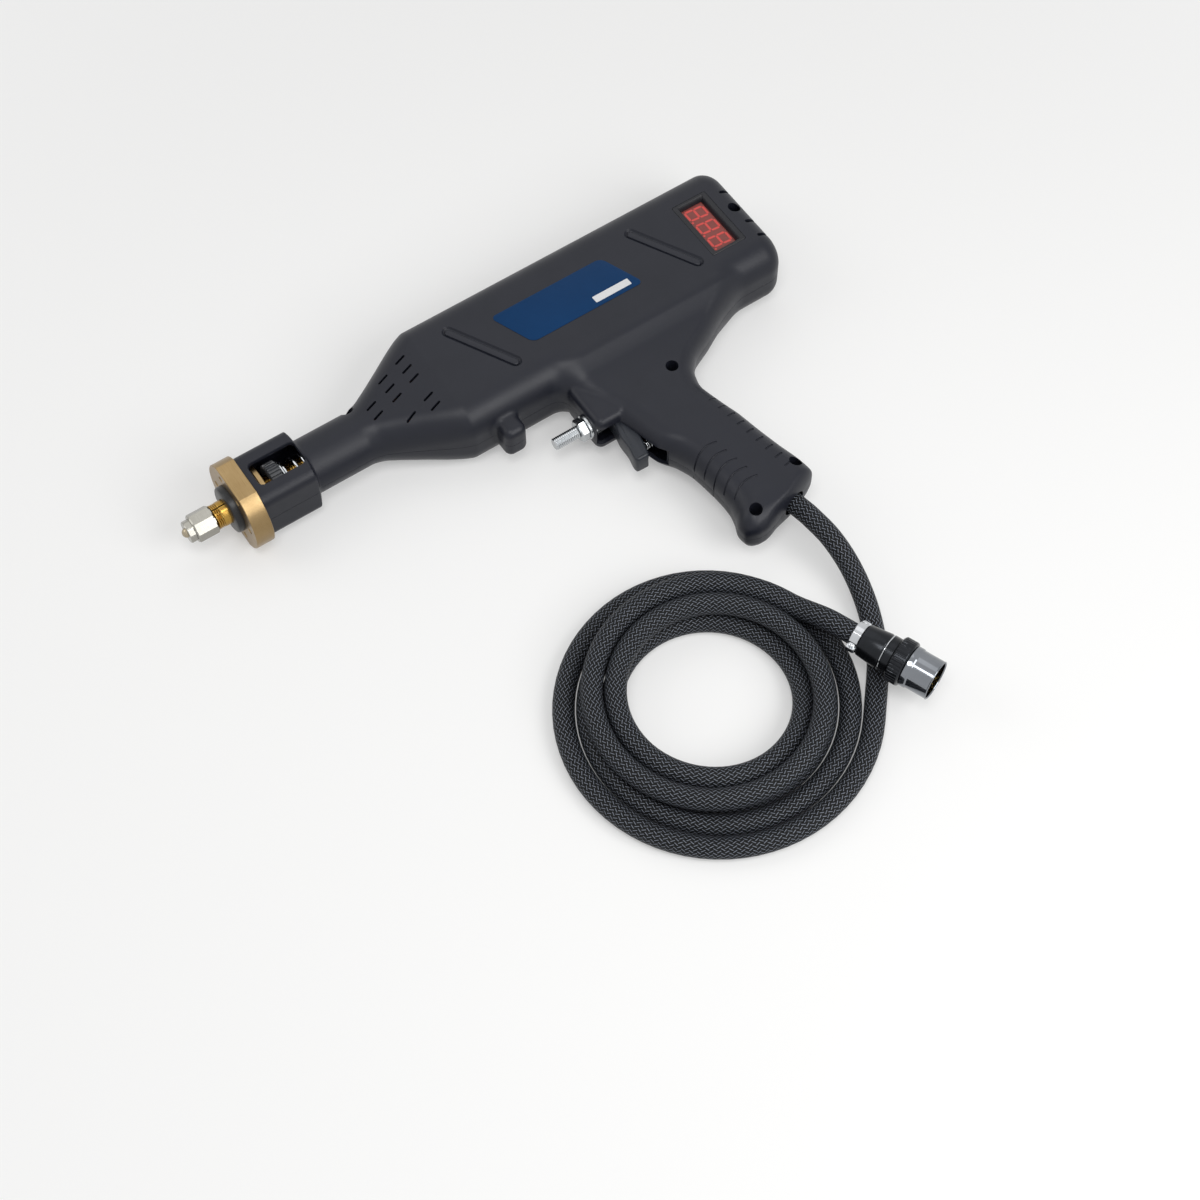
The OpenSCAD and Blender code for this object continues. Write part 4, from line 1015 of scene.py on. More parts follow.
    @staticmethod
    def _crossings(value: Array) -> tuple[Array, Array]:
        """Finds the cells that the surface passes, and the mean of the crossings on their edges.

        Args:
            value: Distances on the grid.

        Returns:
            Which cells are passed, and the mean in each, in cells from its first corner.
        """
        corner = np.array([(i, j, k) for i in (0, 1) for j in (0, 1) for k in (0, 1)])
        edges = [(a, b) for a in range(8) for b in range(a + 1, 8)
                 if np.abs(corner[a] - corner[b]).sum() == 1]
        cell = np.array(value.shape) - 1
        around = np.stack([value[i:cell[0] + i, j:cell[1] + j, k:cell[2] + k]
                           for i, j, k in corner], axis=-1)
        filled = (around < 0).sum(axis=-1)
        passed = (filled > 0) & (filled < 8)
        v = around[passed]
        total, hits = np.zeros((len(v), 3)), np.zeros((len(v), 1))
        for a, b in edges:
            crossed = (v[:, a] < 0) != (v[:, b] < 0)
            t = np.where(crossed, v[:, a] / np.where(crossed, v[:, a] - v[:, b], 1), 0)[:, None]
            total += crossed[:, None] * (corner[a] + t * (corner[b] - corner[a]))
            hits += crossed[:, None]
        return passed, total / hits

    @staticmethod
    def _net_faces(inside: Array, number: Array) -> list:
        """Joins the points of the four cells round each grid edge that has one end inside.

        Args:
            inside: Whether each grid point is inside.
            number: The number of each cell's point.

        Returns:
            The faces, all wound the same way.
        """
        cell, faces = number.shape, []
        for axis in range(3):
            u, w = (axis + 1) % 3, (axis + 2) % 3
            at = np.argwhere(inside != np.roll(inside, -1, axis=axis))
            good = at[:, axis] < cell[axis]
            for k in (u, w):
                good &= (at[:, k] > 0) & (at[:, k] < cell[k])
            at = at[good]
            quad = []
            for du, dw in ((0, 0), (-1, 0), (-1, -1), (0, -1)):
                move = at.copy()
                move[:, u] += du
                move[:, w] += dw
                quad.append(number[tuple(move.T)])
            quad = np.stack(quad, axis=-1)
            flip = ~inside[tuple(at.T)]
            quad[flip] = quad[flip][:, ::-1]
            faces += quad.tolist()
        return faces


@dataclass
class PanScrew:
    """A pan-head screw with a cross recess, head up."""

    steps: int = 64
    radii: tuple = (0.0, 0.35, 0.7, 1.1, 1.5, 1.9, 2.3, 2.7, 3.0, 3.2)
    top: float = 30.4
    dome: float = 0.12
    rim: float = 2.6
    rim_fall: float = 0.25
    arm_half: float = 0.42
    arm_slope: float = 0.12
    arm_reach: float = 2.0
    arm_end: float = 0.25
    recess: float = 1.1
    shank: tuple = ((3.2, 28.05), (1.75, 28.05), (1.75, 19.0), (1.2, 18.0), (0.0, 18.0))

    def shape(self, x: float, y: float) -> Shape:
        """Height of the head = dome, less the rim's fall, less the recess where an arm reaches.

        Args:
            x, y: Its place in gun measure.

        Returns:
            The screw, from the top of its head down to its point.
        """
        theta = even_turn(self.steps)
        radius = np.array(self.radii)[:, None]
        arm = np.minimum(np.abs(radius * np.sin(theta)), np.abs(radius * np.cos(theta)))
        deep = (np.clip((self.arm_half - arm) / self.arm_slope, 0, 1)
                * np.clip((self.arm_reach - radius) / self.arm_end, 0, 1))
        height = (self.top - self.dome * radius ** 2 - self.rim_fall * np.clip(radius - self.rim, 0, 1)
                  - self.recess * deep)
        head = np.stack([x + radius * np.cos(theta), y + radius * np.sin(theta), height], axis=-1)
        r, z = np.array(self.shank).T[:, :, None] + 0 * theta
        below = np.stack([x + r * np.cos(theta), y + r * np.sin(theta), z], axis=-1)
        rows = np.concatenate([head, below])
        return rows.reshape(-1, 3), grid_faces(len(rows), self.steps)


# The terminal stud's axis under the body
STUD_AXIS = Axis((0, -70, AXIS_Z))


@dataclass
class Housing:
    """Both shells with their cuts, ribs, wells, screws and label.

    A row of finger grooves gives its first groove's middle, how many there are, their pitch, half
    length and bow, and how far the row follows the grip's lean.
    """

    form: HousingForm = field(default_factory=HousingForm)
    screw: PanScrew = field(default_factory=PanScrew)
    angle: float = 40.0
    wall: float = 2.6
    wall_steps: int = 8
    cell: float = 1.3
    parting: float = 0.12
    in_plane: float = 0.01
    above: float = 54.0
    screws: tuple = ((76.0, 13.6), (353.0, 2.0), (254.3, -71.6), (236.5, -182.5), (276.0, -168.0))
    well: float = 4.0
    well_floor: float = 28.0
    well_top: float = 56.0
    well_steps: int = 36
    well_rows: tuple = ((2.05, 25.4), (4.7, 25.4), (4.7, None), (4.02, None), (4.02, 28.0), (2.05, 28.0))
    well_sink: float = 1.3
    well_least: float = 0.4
    well_probe: float = 26.5
    well_cover: float = 0.5
    well_pull: float = 0.85
    vent_columns: tuple = ((88.0, (0.5, -0.5)), (103.2, (1.9, 0.9, -0.1, -2.1)),
                           (118.4, (2.5, 1.5, 0.5, -1.5, -2.5)))
    vent_pitch: float = 8.1
    vent_length: float = 6.5
    vent_half: float = 0.75
    vent_lean: float = 16.0
    vent_low: float = 31.0
    rear_vents: tuple = (16.5, -11.5, -24.5)
    rear_vent_length: float = 16.0
    rear_vent_half: float = 1.25
    rear_vent_low: float = 40.0
    grooves: tuple = (((235.0, -133.5), 5, 8.3, 9.6, 2.4, 1.0), ((261.5, -104.0), 9, 8.1, 3.2, 0.0, 0.75))
    groove_radius: float = 0.62
    groove_sink: float = 0.1
    trigger_slot: tuple = (27.0, 52.0, 2.0)
    trigger_slot_middle: tuple = (207.5, -92.0)
    trigger_slot_half: float = 7.46
    stud_hole: Profile = tuple(rod_profile(188, 203, 4.3, 0.1))
    gland: Axis = Axis((264.0, -184.6, AXIS_Z), (0.18667, -0.98242, 0), (0.98242, 0.18667, 0))
    outlet: Profile = tuple(rod_profile(-26, 24, 8.4, 0.1))
    window: tuple = (31.0, 17.5, 3.4)
    window_x: float = 20.4
    window_levels: Profile = ((36, 0.4), (43.6, 0.2), (44.6, -0.2), (46.5, -1.7))
    opening: tuple = (25.2, 45.4, 1.2)
    opening_x: float = 332.0
    opening_low: float = 44.0
    ribs: tuple = (164.0, 298.0)
    rib_run: float = 22.0
    rib_rise: float = 41.0
    rib_half: float = 2.3
    rib_levels: Profile = ((48.2, 0.0), (48.8, 0.0), (49.15, 0.12), (49.45, 0.42), (49.62, 0.9), (49.68, 1.5))
    rib_slot_half: float = 3.4
    rib_slot_levels: Profile = ((48.6, 0.5), (48.9, 0.1), (49.6, -0.3), (51, -1.6))
    label_size: tuple = (81.0, 30.0, 4.0, 8, 0.40)
    label_x: float = 226.0
    label_levels: Profile = ((50.0, 0), (50.24, 0), (50.3, 0.12))
    strip_size: tuple = (26.0, 5.0, 0.6, 4, 0.05)
    strip_middle: tuple = (252.5, -9.6)
    strip_levels: Profile = ((50.28, 0), (50.36, 0))

    def shell(self, name: str, left: bool, skin: Shape) -> bpy.types.Object:
        """One half of the housing: the trimmed skin, its wall's inside, and the rim between them.

        Args:
            name: The piece's name.
            left: Whether it is the left half.
            skin: The left half's skin.

        Returns:
            The object, before its openings are cut.
        """
        points, faces = skin
        if not left:
            points = points * [1, 1, -1] + [0, 0, 2 * AXIS_Z]
            faces = [face[::-1] for face in faces]
        piece = add_piece(name, (points, faces), Finishes.shell, "shell_plastic",
                          replaces=("left_shell" if left else "right_shell",), angle=self.angle)
        side = 1 if left else -1
        parting = AXIS_Z + side * self.parting
        outer, sheet, (a, b) = self._trimmed(piece.data, side, parting)
        inner = self._inner_wall(outer / MM + GUN_ORIGIN, parting)
        count = len(outer)
        faces = [face.tolist() for face in sheet] + [(face[::-1] + count).tolist() for face in sheet]
        faces += np.stack([b, a, a + count, b + count], axis=1).tolist()
        piece.data.clear_geometry()
        piece.data.from_pydata(np.concatenate([outer, to_frame(inner)]).tolist(), [], faces)
        clean_mesh(piece.data, self.angle)
        return piece

    @staticmethod
    def _trimmed(mesh: bpy.types.Mesh, side: int, parting: float) -> tuple[Array, list[Array], Array]:
        """Cuts a skin at the parting plane and at the barrel's mouth, and turns it outwards.

        Args:
            mesh: The skin.
            side: 1 for the left half, -1 for the right one.
            parting: Height of the parting plane.

        Returns:
            The points in the frame, each face's point numbers, and both ends of the rim's edges.
        """
        work = bmesh.new()
        work.from_mesh(mesh)
        for height, way in ((parting, (0, 0, -side)), (0, (-1, 0, 0))):
            bmesh.ops.bisect_plane(work, geom=work.verts[:] + work.edges[:] + work.faces[:], dist=MERGE,
                                   plane_co=frame_spot(0, 0, height), plane_no=way, clear_outer=True)
        if side * sum(face.normal.z * face.calc_area() for face in work.faces) < 0:
            bmesh.ops.reverse_faces(work, faces=work.faces[:])
        work.to_mesh(mesh)
        work.free()
        starts = read_all(mesh.polygons, "loop_start", np.int32)
        corners, edges = (read_all(mesh.loops, name, np.int32) for name in ("vertex_index", "edge_index"))
        after = np.arange(1, len(corners) + 1)
        after[np.append(starts[1:], len(corners)) - 1] = starts
        bare = np.bincount(edges)[edges] == 1
        rim = np.stack([corners[bare], corners[after[bare]]])
        points = read_all(mesh.vertices, "co", np.float32, 3).astype(float)
        return points, np.split(corners, starts[1:]), rim

    def _inner_wall(self, outer: Array, parting: float) -> Array:
        """Lets the outside's points sink down the slope of the distance field to the wall's depth.

        They go in small steps. Lines of steepest descent never cross, so the inside has no folds.
        Points on the parting plane and on the mouth stay in their plane.

        Args:
            outer: The outside's points, in gun measure.
            parting: Height of the parting plane.

        Returns:
            The inside's points.
        """
        inner = outer
        for depth in np.linspace(0, self.wall, self.wall_steps + 1)[1:]:
            inner = self.form.drawn(inner, depth)
        inner[:, 2] = np.where(np.abs(outer[:, 2] - parting) < self.in_plane, parting, inner[:, 2])
        inner[:, 0] = np.where(np.abs(outer[:, 0]) < self.in_plane, 0, inner[:, 0])
        return inner

    @staticmethod
    def _through(low: float, high: float, left: bool) -> Profile:
        """Levels of a cutter on the left side, or their mirror image on the right."""
        return ((low, 0), (high, 0)) if left else ((2 * AXIS_Z - high, 0), (2 * AXIS_Z - low, 0))

    def vent_cutters(self, left: bool) -> list[Shape]:
        """Slots through one side and over the rear edge.

        Args:
            left: Whether they are for the left half.

        Returns:
            The cutters.
        """
        lean = math.radians(self.vent_lean)
        side = self._through(self.vent_low, self.above, left)
        rear = self._through(self.rear_vent_low, self.above, left)
        made = [slab(stadium(self.vent_length, self.vent_half, lean, (x, row * self.vent_pitch), 6), side)
                for x, rows in self.vent_columns for row in rows]
        return made + [slab(stadium(self.rear_vent_length, self.rear_vent_half, 0,
                                    (self.form.length, y), 6), rear) for y in self.rear_vents]

    def groove_cutters(self, left: bool) -> list[Shape]:
        """Thin round cutters that follow the grip's side a little below its surface.

        With t from -1 to 1, a groove runs t times its half length across the grip and bows by t squared.

        Args:
            left: Whether they are for the left half.

        Returns:
            The cutters.
        """
        lean = np.array([self.form.grip_lean, -1.0]) / math.hypot(self.form.grip_lean, 1.0)
        across = np.array([-lean[1], lean[0]])
        t = np.linspace(-1, 1, 13)[:, None]
        shapes = []
        for first, count, pitch, half, bow, follow in self.grooves:
            for k in range(count):
                start = np.array(first) + pitch * k * lean * np.array([follow, 1.0])
                flat = start + t * half * across + (t ** 2 - 1) * bow * lean
                height = self.form.side_height(flat) - self.groove_sink
                path = np.column_stack([flat, height if left else 2 * AXIS_Z - height])
                shapes.append(sweep(path, self.groove_radius, 8))
        return shapes

    def opening_cutters(self) -> tuple[Shape, Shape, Shape]:
        """The trigger's slot, the stud's hole and the lead's outlet, which both halves share.

        Returns:
            The three cutters.
        """
        half = self.trigger_slot_half
        slot = slab(rounded_outline(*self.trigger_slot) + self.trigger_slot_middle,
                    ((AXIS_Z - half, 0), (AXIS_Z + half, 0)))
        return slot, lathe(STUD_AXIS, self.stud_hole, 32), lathe(self.gland, self.outlet, 40)

    def rib_outline(self, x: float, half: float) -> Array:
        """The diagonal stadium of a rib or of its slot."""
        length, turn = math.hypot(self.rib_run, self.rib_rise), math.atan2(-self.rib_rise, self.rib_run)
        return stadium(length, half, turn, (x, 0), 12)

    def face_cutters(self) -> list[Shape]:
        """What is cut in the left side alone: screw wells, window, display opening and rib slots.

        Returns:
            The cutters.
        """
        bore = rod_profile(self.well_floor, self.well_top, self.well, 0.05)
        opening_levels = self._through(self.opening_low, self.above, True)
        return [*(lathe(upright(x, y), bore, self.well_steps) for x, y in self.screws),
                slab(rounded_outline(*self.window) + [self.window_x, 0], self.window_levels),
                slab(rounded_outline(*self.opening) + [self.opening_x, 0], opening_levels),
                *(slab(self.rib_outline(x, self.rib_slot_half), self.rib_slot_levels) for x in self.ribs)]

    def wells(self) -> Shape:
        """A thin cup under each screw well; its wall stays under the skin.

        A point of the cup that would come out of the housing is pulled towards the screw.

        Returns:
            All cups.
        """
        theta = even_turn(self.well_steps)
        circle = np.column_stack([np.cos(theta), np.sin(theta)])
        cups = []
        for middle in np.array(self.screws):
            under = self.form.side_height(middle + self.well * circle) - self.well_sink
            top = np.maximum(under, self.well_floor + self.well_least)
            rows = []
            for radius, height in self.well_rows:
                flat = middle + radius * circle
                bare = self.form.distance(on_side(flat, self.well_probe)) > -self.well_cover
                flat = middle + (flat - middle) * np.where(bare, self.well_pull, 1.0)[:, None]
                rows.append(on_side(flat, top if height is None else height))
            cups.append((np.concatenate(rows), grid_faces(len(rows), self.well_steps, wrap_rows=True)))
        return join_shapes(cups)

    def label(self) -> None:
        """The bare name plate, with its plain writing strip."""
        plate = slab(rounded_outline(*self.label_size) + [self.label_x, 0], self.label_levels)
        add_piece("name_label_film", plate, Finishes.film, "label_film", replaces=("name_label",))
        strip = slab(rounded_outline(*self.strip_size) + self.strip_middle, self.strip_levels)
        add_piece("name_label_strip", strip, Finishes.strip, "label_film")

    def build(self) -> None:
        """Makes every piece of the housing."""
        skin = self.form.skin(self.cell)
        for name, left in (("left_shell_moulding", True), ("right_shell_moulding", False)):
            piece = self.shell(name, left, skin)
            slot, stud, outlet = self.opening_cutters()
            cut(piece, [slot, outlet, *self.vent_cutters(left), *self.groove_cutters(left)], self.angle)
            cut(piece, [stud, *(self.face_cutters() if left else [])], self.angle)
        add_piece("left_shell_wells", self.wells(), Finishes.rib, "shell_plastic")
        bars = [slab(self.rib_outline(x, self.rib_half), self.rib_levels) for x in self.ribs]
        add_piece("left_shell_ribs", join_shapes(bars), Finishes.rib, "shell_plastic", angle=50)
        screws = [self.screw.shape(x, y) for x, y in self.screws]
        add_piece("housing_screw_set", join_shapes(screws), Finishes.screw, "screw_steel",
                  replaces=("housing_screws",))
        self.label()


@dataclass
class Display:
    """The three-digit display in its bezel.

    A row of the bezel gives the width, height, corner radius and level of a rounded rectangle.
    """

    x: float = 332.0
    bezel_rows: tuple = (
        (28.0, 48.2, 1.5, 46.3), (28.0, 48.2, 1.5, 47.3), (24.8, 45.0, 1.2, 47.3),
        (24.8, 45.0, 1.2, 50.0), (24.2, 44.4, 1.0, 50.3), (19.2, 41.7, 0.8, 50.3),
        (18.6, 41.1, 0.8, 50.05), (15.6, 38.1, 0.4, 46.9), (15.5, 38.0, 0.4, 46.3))
    lens_size: tuple = (21.5, 44.0, 1.0)
    lens_levels: Profile = ((45.0, 0), (46.1, 0), (46.2, 0.1))
    digit_height: float = 12.6
    digit_width: float = 7.4
    pitch: float = 12.4
    slant: float = 0.1
    shift: float = 0.6
    bar_half: float = 0.72
    bar_gap: float = 1.9
    dot_half: float = 0.75
    dot_length: float = 0.05
    dot_away: float = 1.9
    lit_levels: Profile = ((46.1, 0), (46.26, 0))

    def bezel(self) -> Shape:
        """A frame: rounded rectangles from its lip, up the outside, over the rim and down the flare."""
        loops = [on_side(rounded_outline(*sizes) + [self.x, 0], z) for *sizes, z in self.bezel_rows]
        return np.concatenate(loops), grid_faces(len(loops), len(loops[0]), wrap_rows=True)

    def segments(self) -> Shape:
        """Seven bars and a point for each digit: the digit's up is +X and it reads along -Y.

        Returns:
            All of them, for three digits.
        """
        h, w = self.digit_height / 2, self.digit_width / 2
        outlines = [stadium(2 * w - self.bar_gap, self.bar_half, math.pi / 2, (up, 0), 2)
                    for up in (-h, 0, h)]
        outlines += [stadium(h - self.bar_gap, self.bar_half, 0, (up, across), 2)
                     for up in (h / 2, -h / 2) for across in (w, -w)]
        outlines.append(stadium(self.dot_length, self.dot_half, 0, (-h, -w - self.dot_away), 5))
        return join_shapes([self._raise(outline, k) for k in (-1, 0, 1) for outline in outlines])

    def _raise(self, outline: Array, k: int) -> Shape:
        """Leans a flat outline, moves it to digit k's place and gives it a little height."""
        up, across = outline.T
        return slab(np.column_stack([up + self.x, across - self.slant * up - k * self.pitch + self.shift]),
                    self.lit_levels)

    def build(self) -> None:
        """Makes the display's pieces."""
        add_piece("display_bezel_frame", self.bezel(), Finishes.bezel, "bezel_plastic",
                  replaces=("display_bezel",))
        lens = slab(rounded_outline(*self.lens_size) + [self.x, 0], self.lens_levels)
        add_piece("display_lens_plate", lens, Finishes.lens, "lens_red", replaces=("display_lens",))
        add_piece("display_segments", self.segments(), Finishes.segment, "lens_red")
        dress(Finishes.led_body, "display_module")
        dress(Finishes.board, "control_board")
        dress(Finishes.steel, "board_screws")


# Nose

def thread(start: float, end: float, radius: float, pitch: float, inset: float) -> Profile:
    """Places along a threaded bar, ten to a turn, the first and last an inset in from its ends."""
    count = max(2, int(abs(end - start) / pitch * 10))
    return [(s, radius) for s in np.linspace(start + inset, end - inset, count)]


def thread_wave(threads: Sequence[tuple[float, float, float, float]],
                then: Optional[Wave] = None) -> Wave:
    """Lowers a radius along threads: depth times a triangle wave of (distance / pitch - angle / turn).

    Args:
        threads: Start, end, pitch and depth of each thread, which fades out over a pitch at each end.
        then: A further change of radius.

    Returns:
        A radius function for lathe.
    """
    def lowered(s: Array, r: Array, theta: Array) -> Array:
        """Radius at each point.

        Args:
            s: Distance along the axis.
            r: Outside radius, no more than 1 at the closed ends, which stay.
            theta: Angle round the axis.

        Returns:
            The lowered radius.
        """
        out = r + 0 * theta
        for start, end, pitch, depth in threads:
            phase = (s / pitch - theta / TURN) % 1.0
            valley = 1 - np.abs(2 * phase - 1)
            fade = np.clip((s - start) / pitch, 0, 1) * np.clip((end - s) / pitch, 0, 1)
            out = out - depth * fade * valley * (r > 1)
        return then(s, out, theta) if then else out

    return lowered


@dataclass
class Nose:
    """Flange, bush, electrode train, adjuster and return spring on the nose axis.

    Profiles are distances along the nose axis with radii.
    """

    flange: float = 28.0
    flange_flat: float = 24.4
    flange_steps: int = 192
    flange_profile: Profile = (
        (-12.0, 11.05), (-12.0, 27.9), (-11.6, 28.0), (-0.3, 28.0), (0.0, 27.9), (0.0, 17.1), (4.0, 17.1),
        (4.0, 14.5), (6.0, 14.5), (6.0, 17.1), (8.6, 17.1), (9.0, 16.7), (9.0, 11.05))
    flange_sharp: tuple = (-11.8, -0.1)
    flange_break: float = 0.4
    spigot: float = 20.0
    holes: int = 6
    hole_circle: float = 20.0
    hole_profile: Profile = ((-13.5, 0), (-13.5, 2.3), (-12.0, 2.3), (-11.5, 1.7), (-3.6, 1.7), (-3.0, 0))
    shaft: float = 7.9
    shaft_steps: int = 72
    shaft_profile: Profile = (
        (-35.0, 0), (-35.0, 5.5), (-34.5, 6.0), *thread(-34.4, -26.4, 6.0, 1.25, 0.1), (-26.3, 5.4),
        (-25.6, 5.4), (-25.6, 7.5), (-25.2, 7.9), *thread(-25.1, -20.6, 7.9, 1.3, 0.1), (-20.4, 7.9),
        (-14.01, 7.9), (-13.99, 7.9), (2.0, 7.9), *thread(3.0, 48.0, 7.9, 1.5, 0.2), (52.0, 7.9),
        (60.1, 7.9), (60.1, 6.9), (61.5, 6.9), (61.5, 7.9), (91.5, 7.9), (92.0, 7.4), (92.0, 0))
    shaft_threads: tuple = ((-25.3, -20.5, 1.3, 0.55), (3.0, 48.0, 1.5, 0.5), (-34.5, -26.3, 1.25, 0.5))
    slit_half: float = 0.4
    slit_wall: float = 1e-3
    slit_slack: float = 1e-6
    slit_clear: float = 0.09
    slit_end: float = -14.0
    slit_floor: float = 2.6
    slit_core: float = 3.0
    circlip: Profile = tuple(ring_profile(60.2, 61.4, 10.3, 6.95, 0.15))
    nut_flat: float = 8.5
    nut_front: float = -39.5
    nut_bore: float = 6.4
    nut_profile: Profile = (
        (-43.6, 3.25), (-43.6, 6.5), (-43.2, 7.0), (-39.9, 7.0), (-39.5, 7.0), (-39.4, 7.6), (-39.4, 8.3),
        (-38.7, 9.25), (-26.5, 9.25), (-25.9, 8.5), (-25.9, 6.05), (-38.2, 6.05), (-38.2, 3.25))
    collar_flat: float = 6.7
    tip_front: float = -46.2
    tip_radius: float = 3.2
    tip_root: Profile = ((-38.1, 3.2), (-38.1, 5.3), (-37.9, 5.5), (-35.7, 5.5), (-35.5, 5.3), (-35.5, 0))
    flutes: int = 34
    flute_depth: float = 0.85
    flute_swell: float = 1.35
    flute_share: float = 0.1
    flute_core: float = 12.5
    adjuster_profile: Profile = ((13.8, 8.1), (13.8, 13.0), (14.5, 14.0), (21.1, 14.0), (21.8, 13.0),
                                 (21.8, 8.1), (21.5, 7.95), (14.1, 7.95))
    washer: Profile = tuple(ring_profile(21.9, 23.1, 13, 8.2, 0.25))
    bush_profile: Profile = (
        (-16.7, 8.3), (-16.7, 13.6), (-16.2, 14.6), (-15.4, 15.0), (-12.0, 15.0), (-12.0, 11.0), (8.7, 11.0),
        (9.0, 10.7), (9.0, 8.1), (8.8, 7.95), (-16.3, 7.95))
    guide_profile: Profile = (
        (52, 8.2), (52, 11.6), (52.4, 12), (55, 12), (55, 10.4), (57, 10.4), (57, 12), (59.6, 12),
        (60, 11.6), (60, 8.2), (59.7, 7.95), (52.3, 7.95))
    spring_reach: float = 10.4
    spring_wire: float = 1.0
    seat_x: float = 24.2
    seat_rise: float = 0.35
    seat_turns: float = 1.04
    coil_x: float = 28.9
    coil_run: float = 22.0
    coil_turns: float = 5.1
    coil_live: float = 4.1
    spring_end: float = 51.9
    spring_keep: float = 0.739

    def flange_piece(self) -> None:
        """The brass flange: a disc held within two flats, a spigot behind it and a ring of tapped holes."""
        top = math.pi / 2
        flats = prism_wave(2, self.flange_flat, top)
        reach = math.acos(self.flange_flat / self.flange)
        corners = [top - reach, top + reach, 3 * top - reach, 3 * top + reach]
        theta = np.sort(np.concatenate([even_turn(self.flange_steps), corners]))
        front, back = self.flange_sharp

        def shape(s: Array, r: Array, angle: Array) -> Array:
            """Radius within the flats, with the disc's edges broken."""
            full = flats(s, np.where(r > self.spigot, self.flange, r) + 0 * angle, angle)
            return np.where(r > self.spigot, full - self.flange_break * ((s < front) | (s > back)), r)

        block = lathe(NOSE_AXIS, self.flange_profile, closed=True, wave=shape, theta=theta)
        piece = add_piece("nose_flange_block", block, Finishes.brass, "brass_satin",
                          replaces=("nose_flange",), angle=25)
        angle = top + TURN * (np.arange(self.holes) + 0.5) / self.holes
        drills = [lathe(Axis(tuple(spot)), self.hole_profile, 24)
                  for spot in NOSE_AXIS.place(0.0, self.hole_circle, angle)]
        cut(piece, drills, 25)

    def electrode(self) -> None:
        """Shaft with its threads and slit, circlip and link screw."""
        top, half = math.pi / 2, self.slit_half / self.shaft
        theta = even_turn(self.shaft_steps)
        side = np.array([half, half + self.slit_wall, self.slit_clear])
        theta = np.sort(np.concatenate([theta[np.abs(theta - top) > self.slit_clear],
                                        top + np.concatenate([-side, [0], side])]))

        def slit(s: Array, r: Array, angle: Array) -> Array:
            """A narrow saw cut along the top of the front end."""
            near = np.abs(angle - top) <= half + self.slit_slack
            return np.where(near & (s < self.slit_end) & (r > self.slit_core),
                            np.minimum(r, self.slit_floor), r)

        wave = thread_wave(self.shaft_threads, slit)
        add_piece("electrode_shaft_turned", lathe(NOSE_AXIS, self.shaft_profile, wave=wave, theta=theta),
                  Finishes.polished, "brass_polished", "electrode", ("electrode_shaft",), 28)
        add_piece("shaft_circlip_ring", lathe(NOSE_AXIS, self.circlip, 48, True), Finishes.spring,
                  "spring_steel", "electrode", ("shaft_circlip",))
        dress(Finishes.steel, "link_screw")

    def chuck(self) -> None:
        """The octagon nut with its smaller faceted collar, and the tip in it."""
        octagon, collar = prism_wave(8, self.nut_flat), prism_wave(8, self.collar_flat)

        def flats(s: Array, r: Array, angle: Array) -> Array:
            """Octagon on the wide part, a smaller one on the collar, round in the bore."""
            outside = np.where(s > self.nut_front, octagon(s, r, angle), collar(s, r, angle))
            return np.where(r < self.nut_bore, r + 0 * angle, outside)

        add_piece("chuck_nut_octagon", lathe(NOSE_AXIS, self.nut_profile, 96, True, flats), Finishes.nickel,
                  "nickel", "chuck", ("chuck_nut",), 5)
        arc = np.linspace(0, math.pi / 2, 7)
        dome = np.column_stack([self.tip_front + self.tip_radius * (1 - np.cos(arc)),
                                self.tip_radius * np.sin(arc)])
        add_piece("electrode_tip_pin", lathe(NOSE_AXIS, np.concatenate([dome, self.tip_root]), 48),
                  Finishes.tip, "nickel", "tip", ("electrode_tip",), 28)

    def adjuster(self) -> None:
        """The fluted ring, its thrust washer and both bushes."""
        def fluted(s: Array, r: Array, angle: Array) -> Array:
            """Round-bottomed flutes on the rim: a cosine cut off at the lands and at full depth."""
            wave = np.clip(np.cos(angle * self.flutes) * self.flute_swell + self.flute_share, 0, 1)
            return r - np.where(r > self.flute_core, self.flute_depth * wave, 0)

        ring = lathe(NOSE_AXIS, self.adjuster_profile, self.flutes * 8, True, fluted)
        add_piece("adjuster_ring_fluted", ring, Finishes.fluted, "black_nylon", "adjuster",
                  ("adjuster_ring",), 40)
        add_piece("thrust_washer_ring", lathe(NOSE_AXIS, self.washer, 64, True), Finishes.steel,
                  "bright_steel", "thrust", ("thrust_washer",))
        add_piece("insulating_bush_turned", lathe(NOSE_AXIS, self.bush_profile, 72, True), Finishes.nylon,
                  "black_nylon", replaces=("insulating_bush",))
        add_piece("rear_guide_turned", lathe(NOSE_AXIS, self.guide_profile, 56, True),
                  Finishes.pale_nylon, "white_nylon", replaces=("rear_guide",))

    def springs(self) -> None:
        """The return spring: a closed end coil that stays on the washer, and the rest of its coils."""
        turn = np.linspace(0, self.seat_turns, 60)
        seat = self._coil(self.seat_x + self.seat_rise * np.clip(turn - 0.5, 0, 1), turn)
        add_piece("return_spring_seat", seat, Finishes.spring, "spring_steel", "thrust", angle=60)
        turn = np.linspace(0, self.coil_turns, 260)
        coil = self._coil(self.coil_x + self.coil_run * np.clip(turn / self.coil_live, 0, 1), turn)
        piece = add_piece("return_spring_coils", coil, Finishes.spring, "spring_steel",
                          replaces=("return_spring",), angle=60)
        frame_spot(self.spring_end, 0, AXIS_Z)
        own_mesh(piece)

    def _coil(self, x: Array, turn: Array) -> Shape:
        """Wire along a helix round the nose axis, which starts at the bottom."""
        path = NOSE_AXIS.place(x, np.full_like(x, self.spring_reach), turn * TURN - math.pi / 2)
        return sweep(path, self.spring_wire, 12, (1, 0, 0))

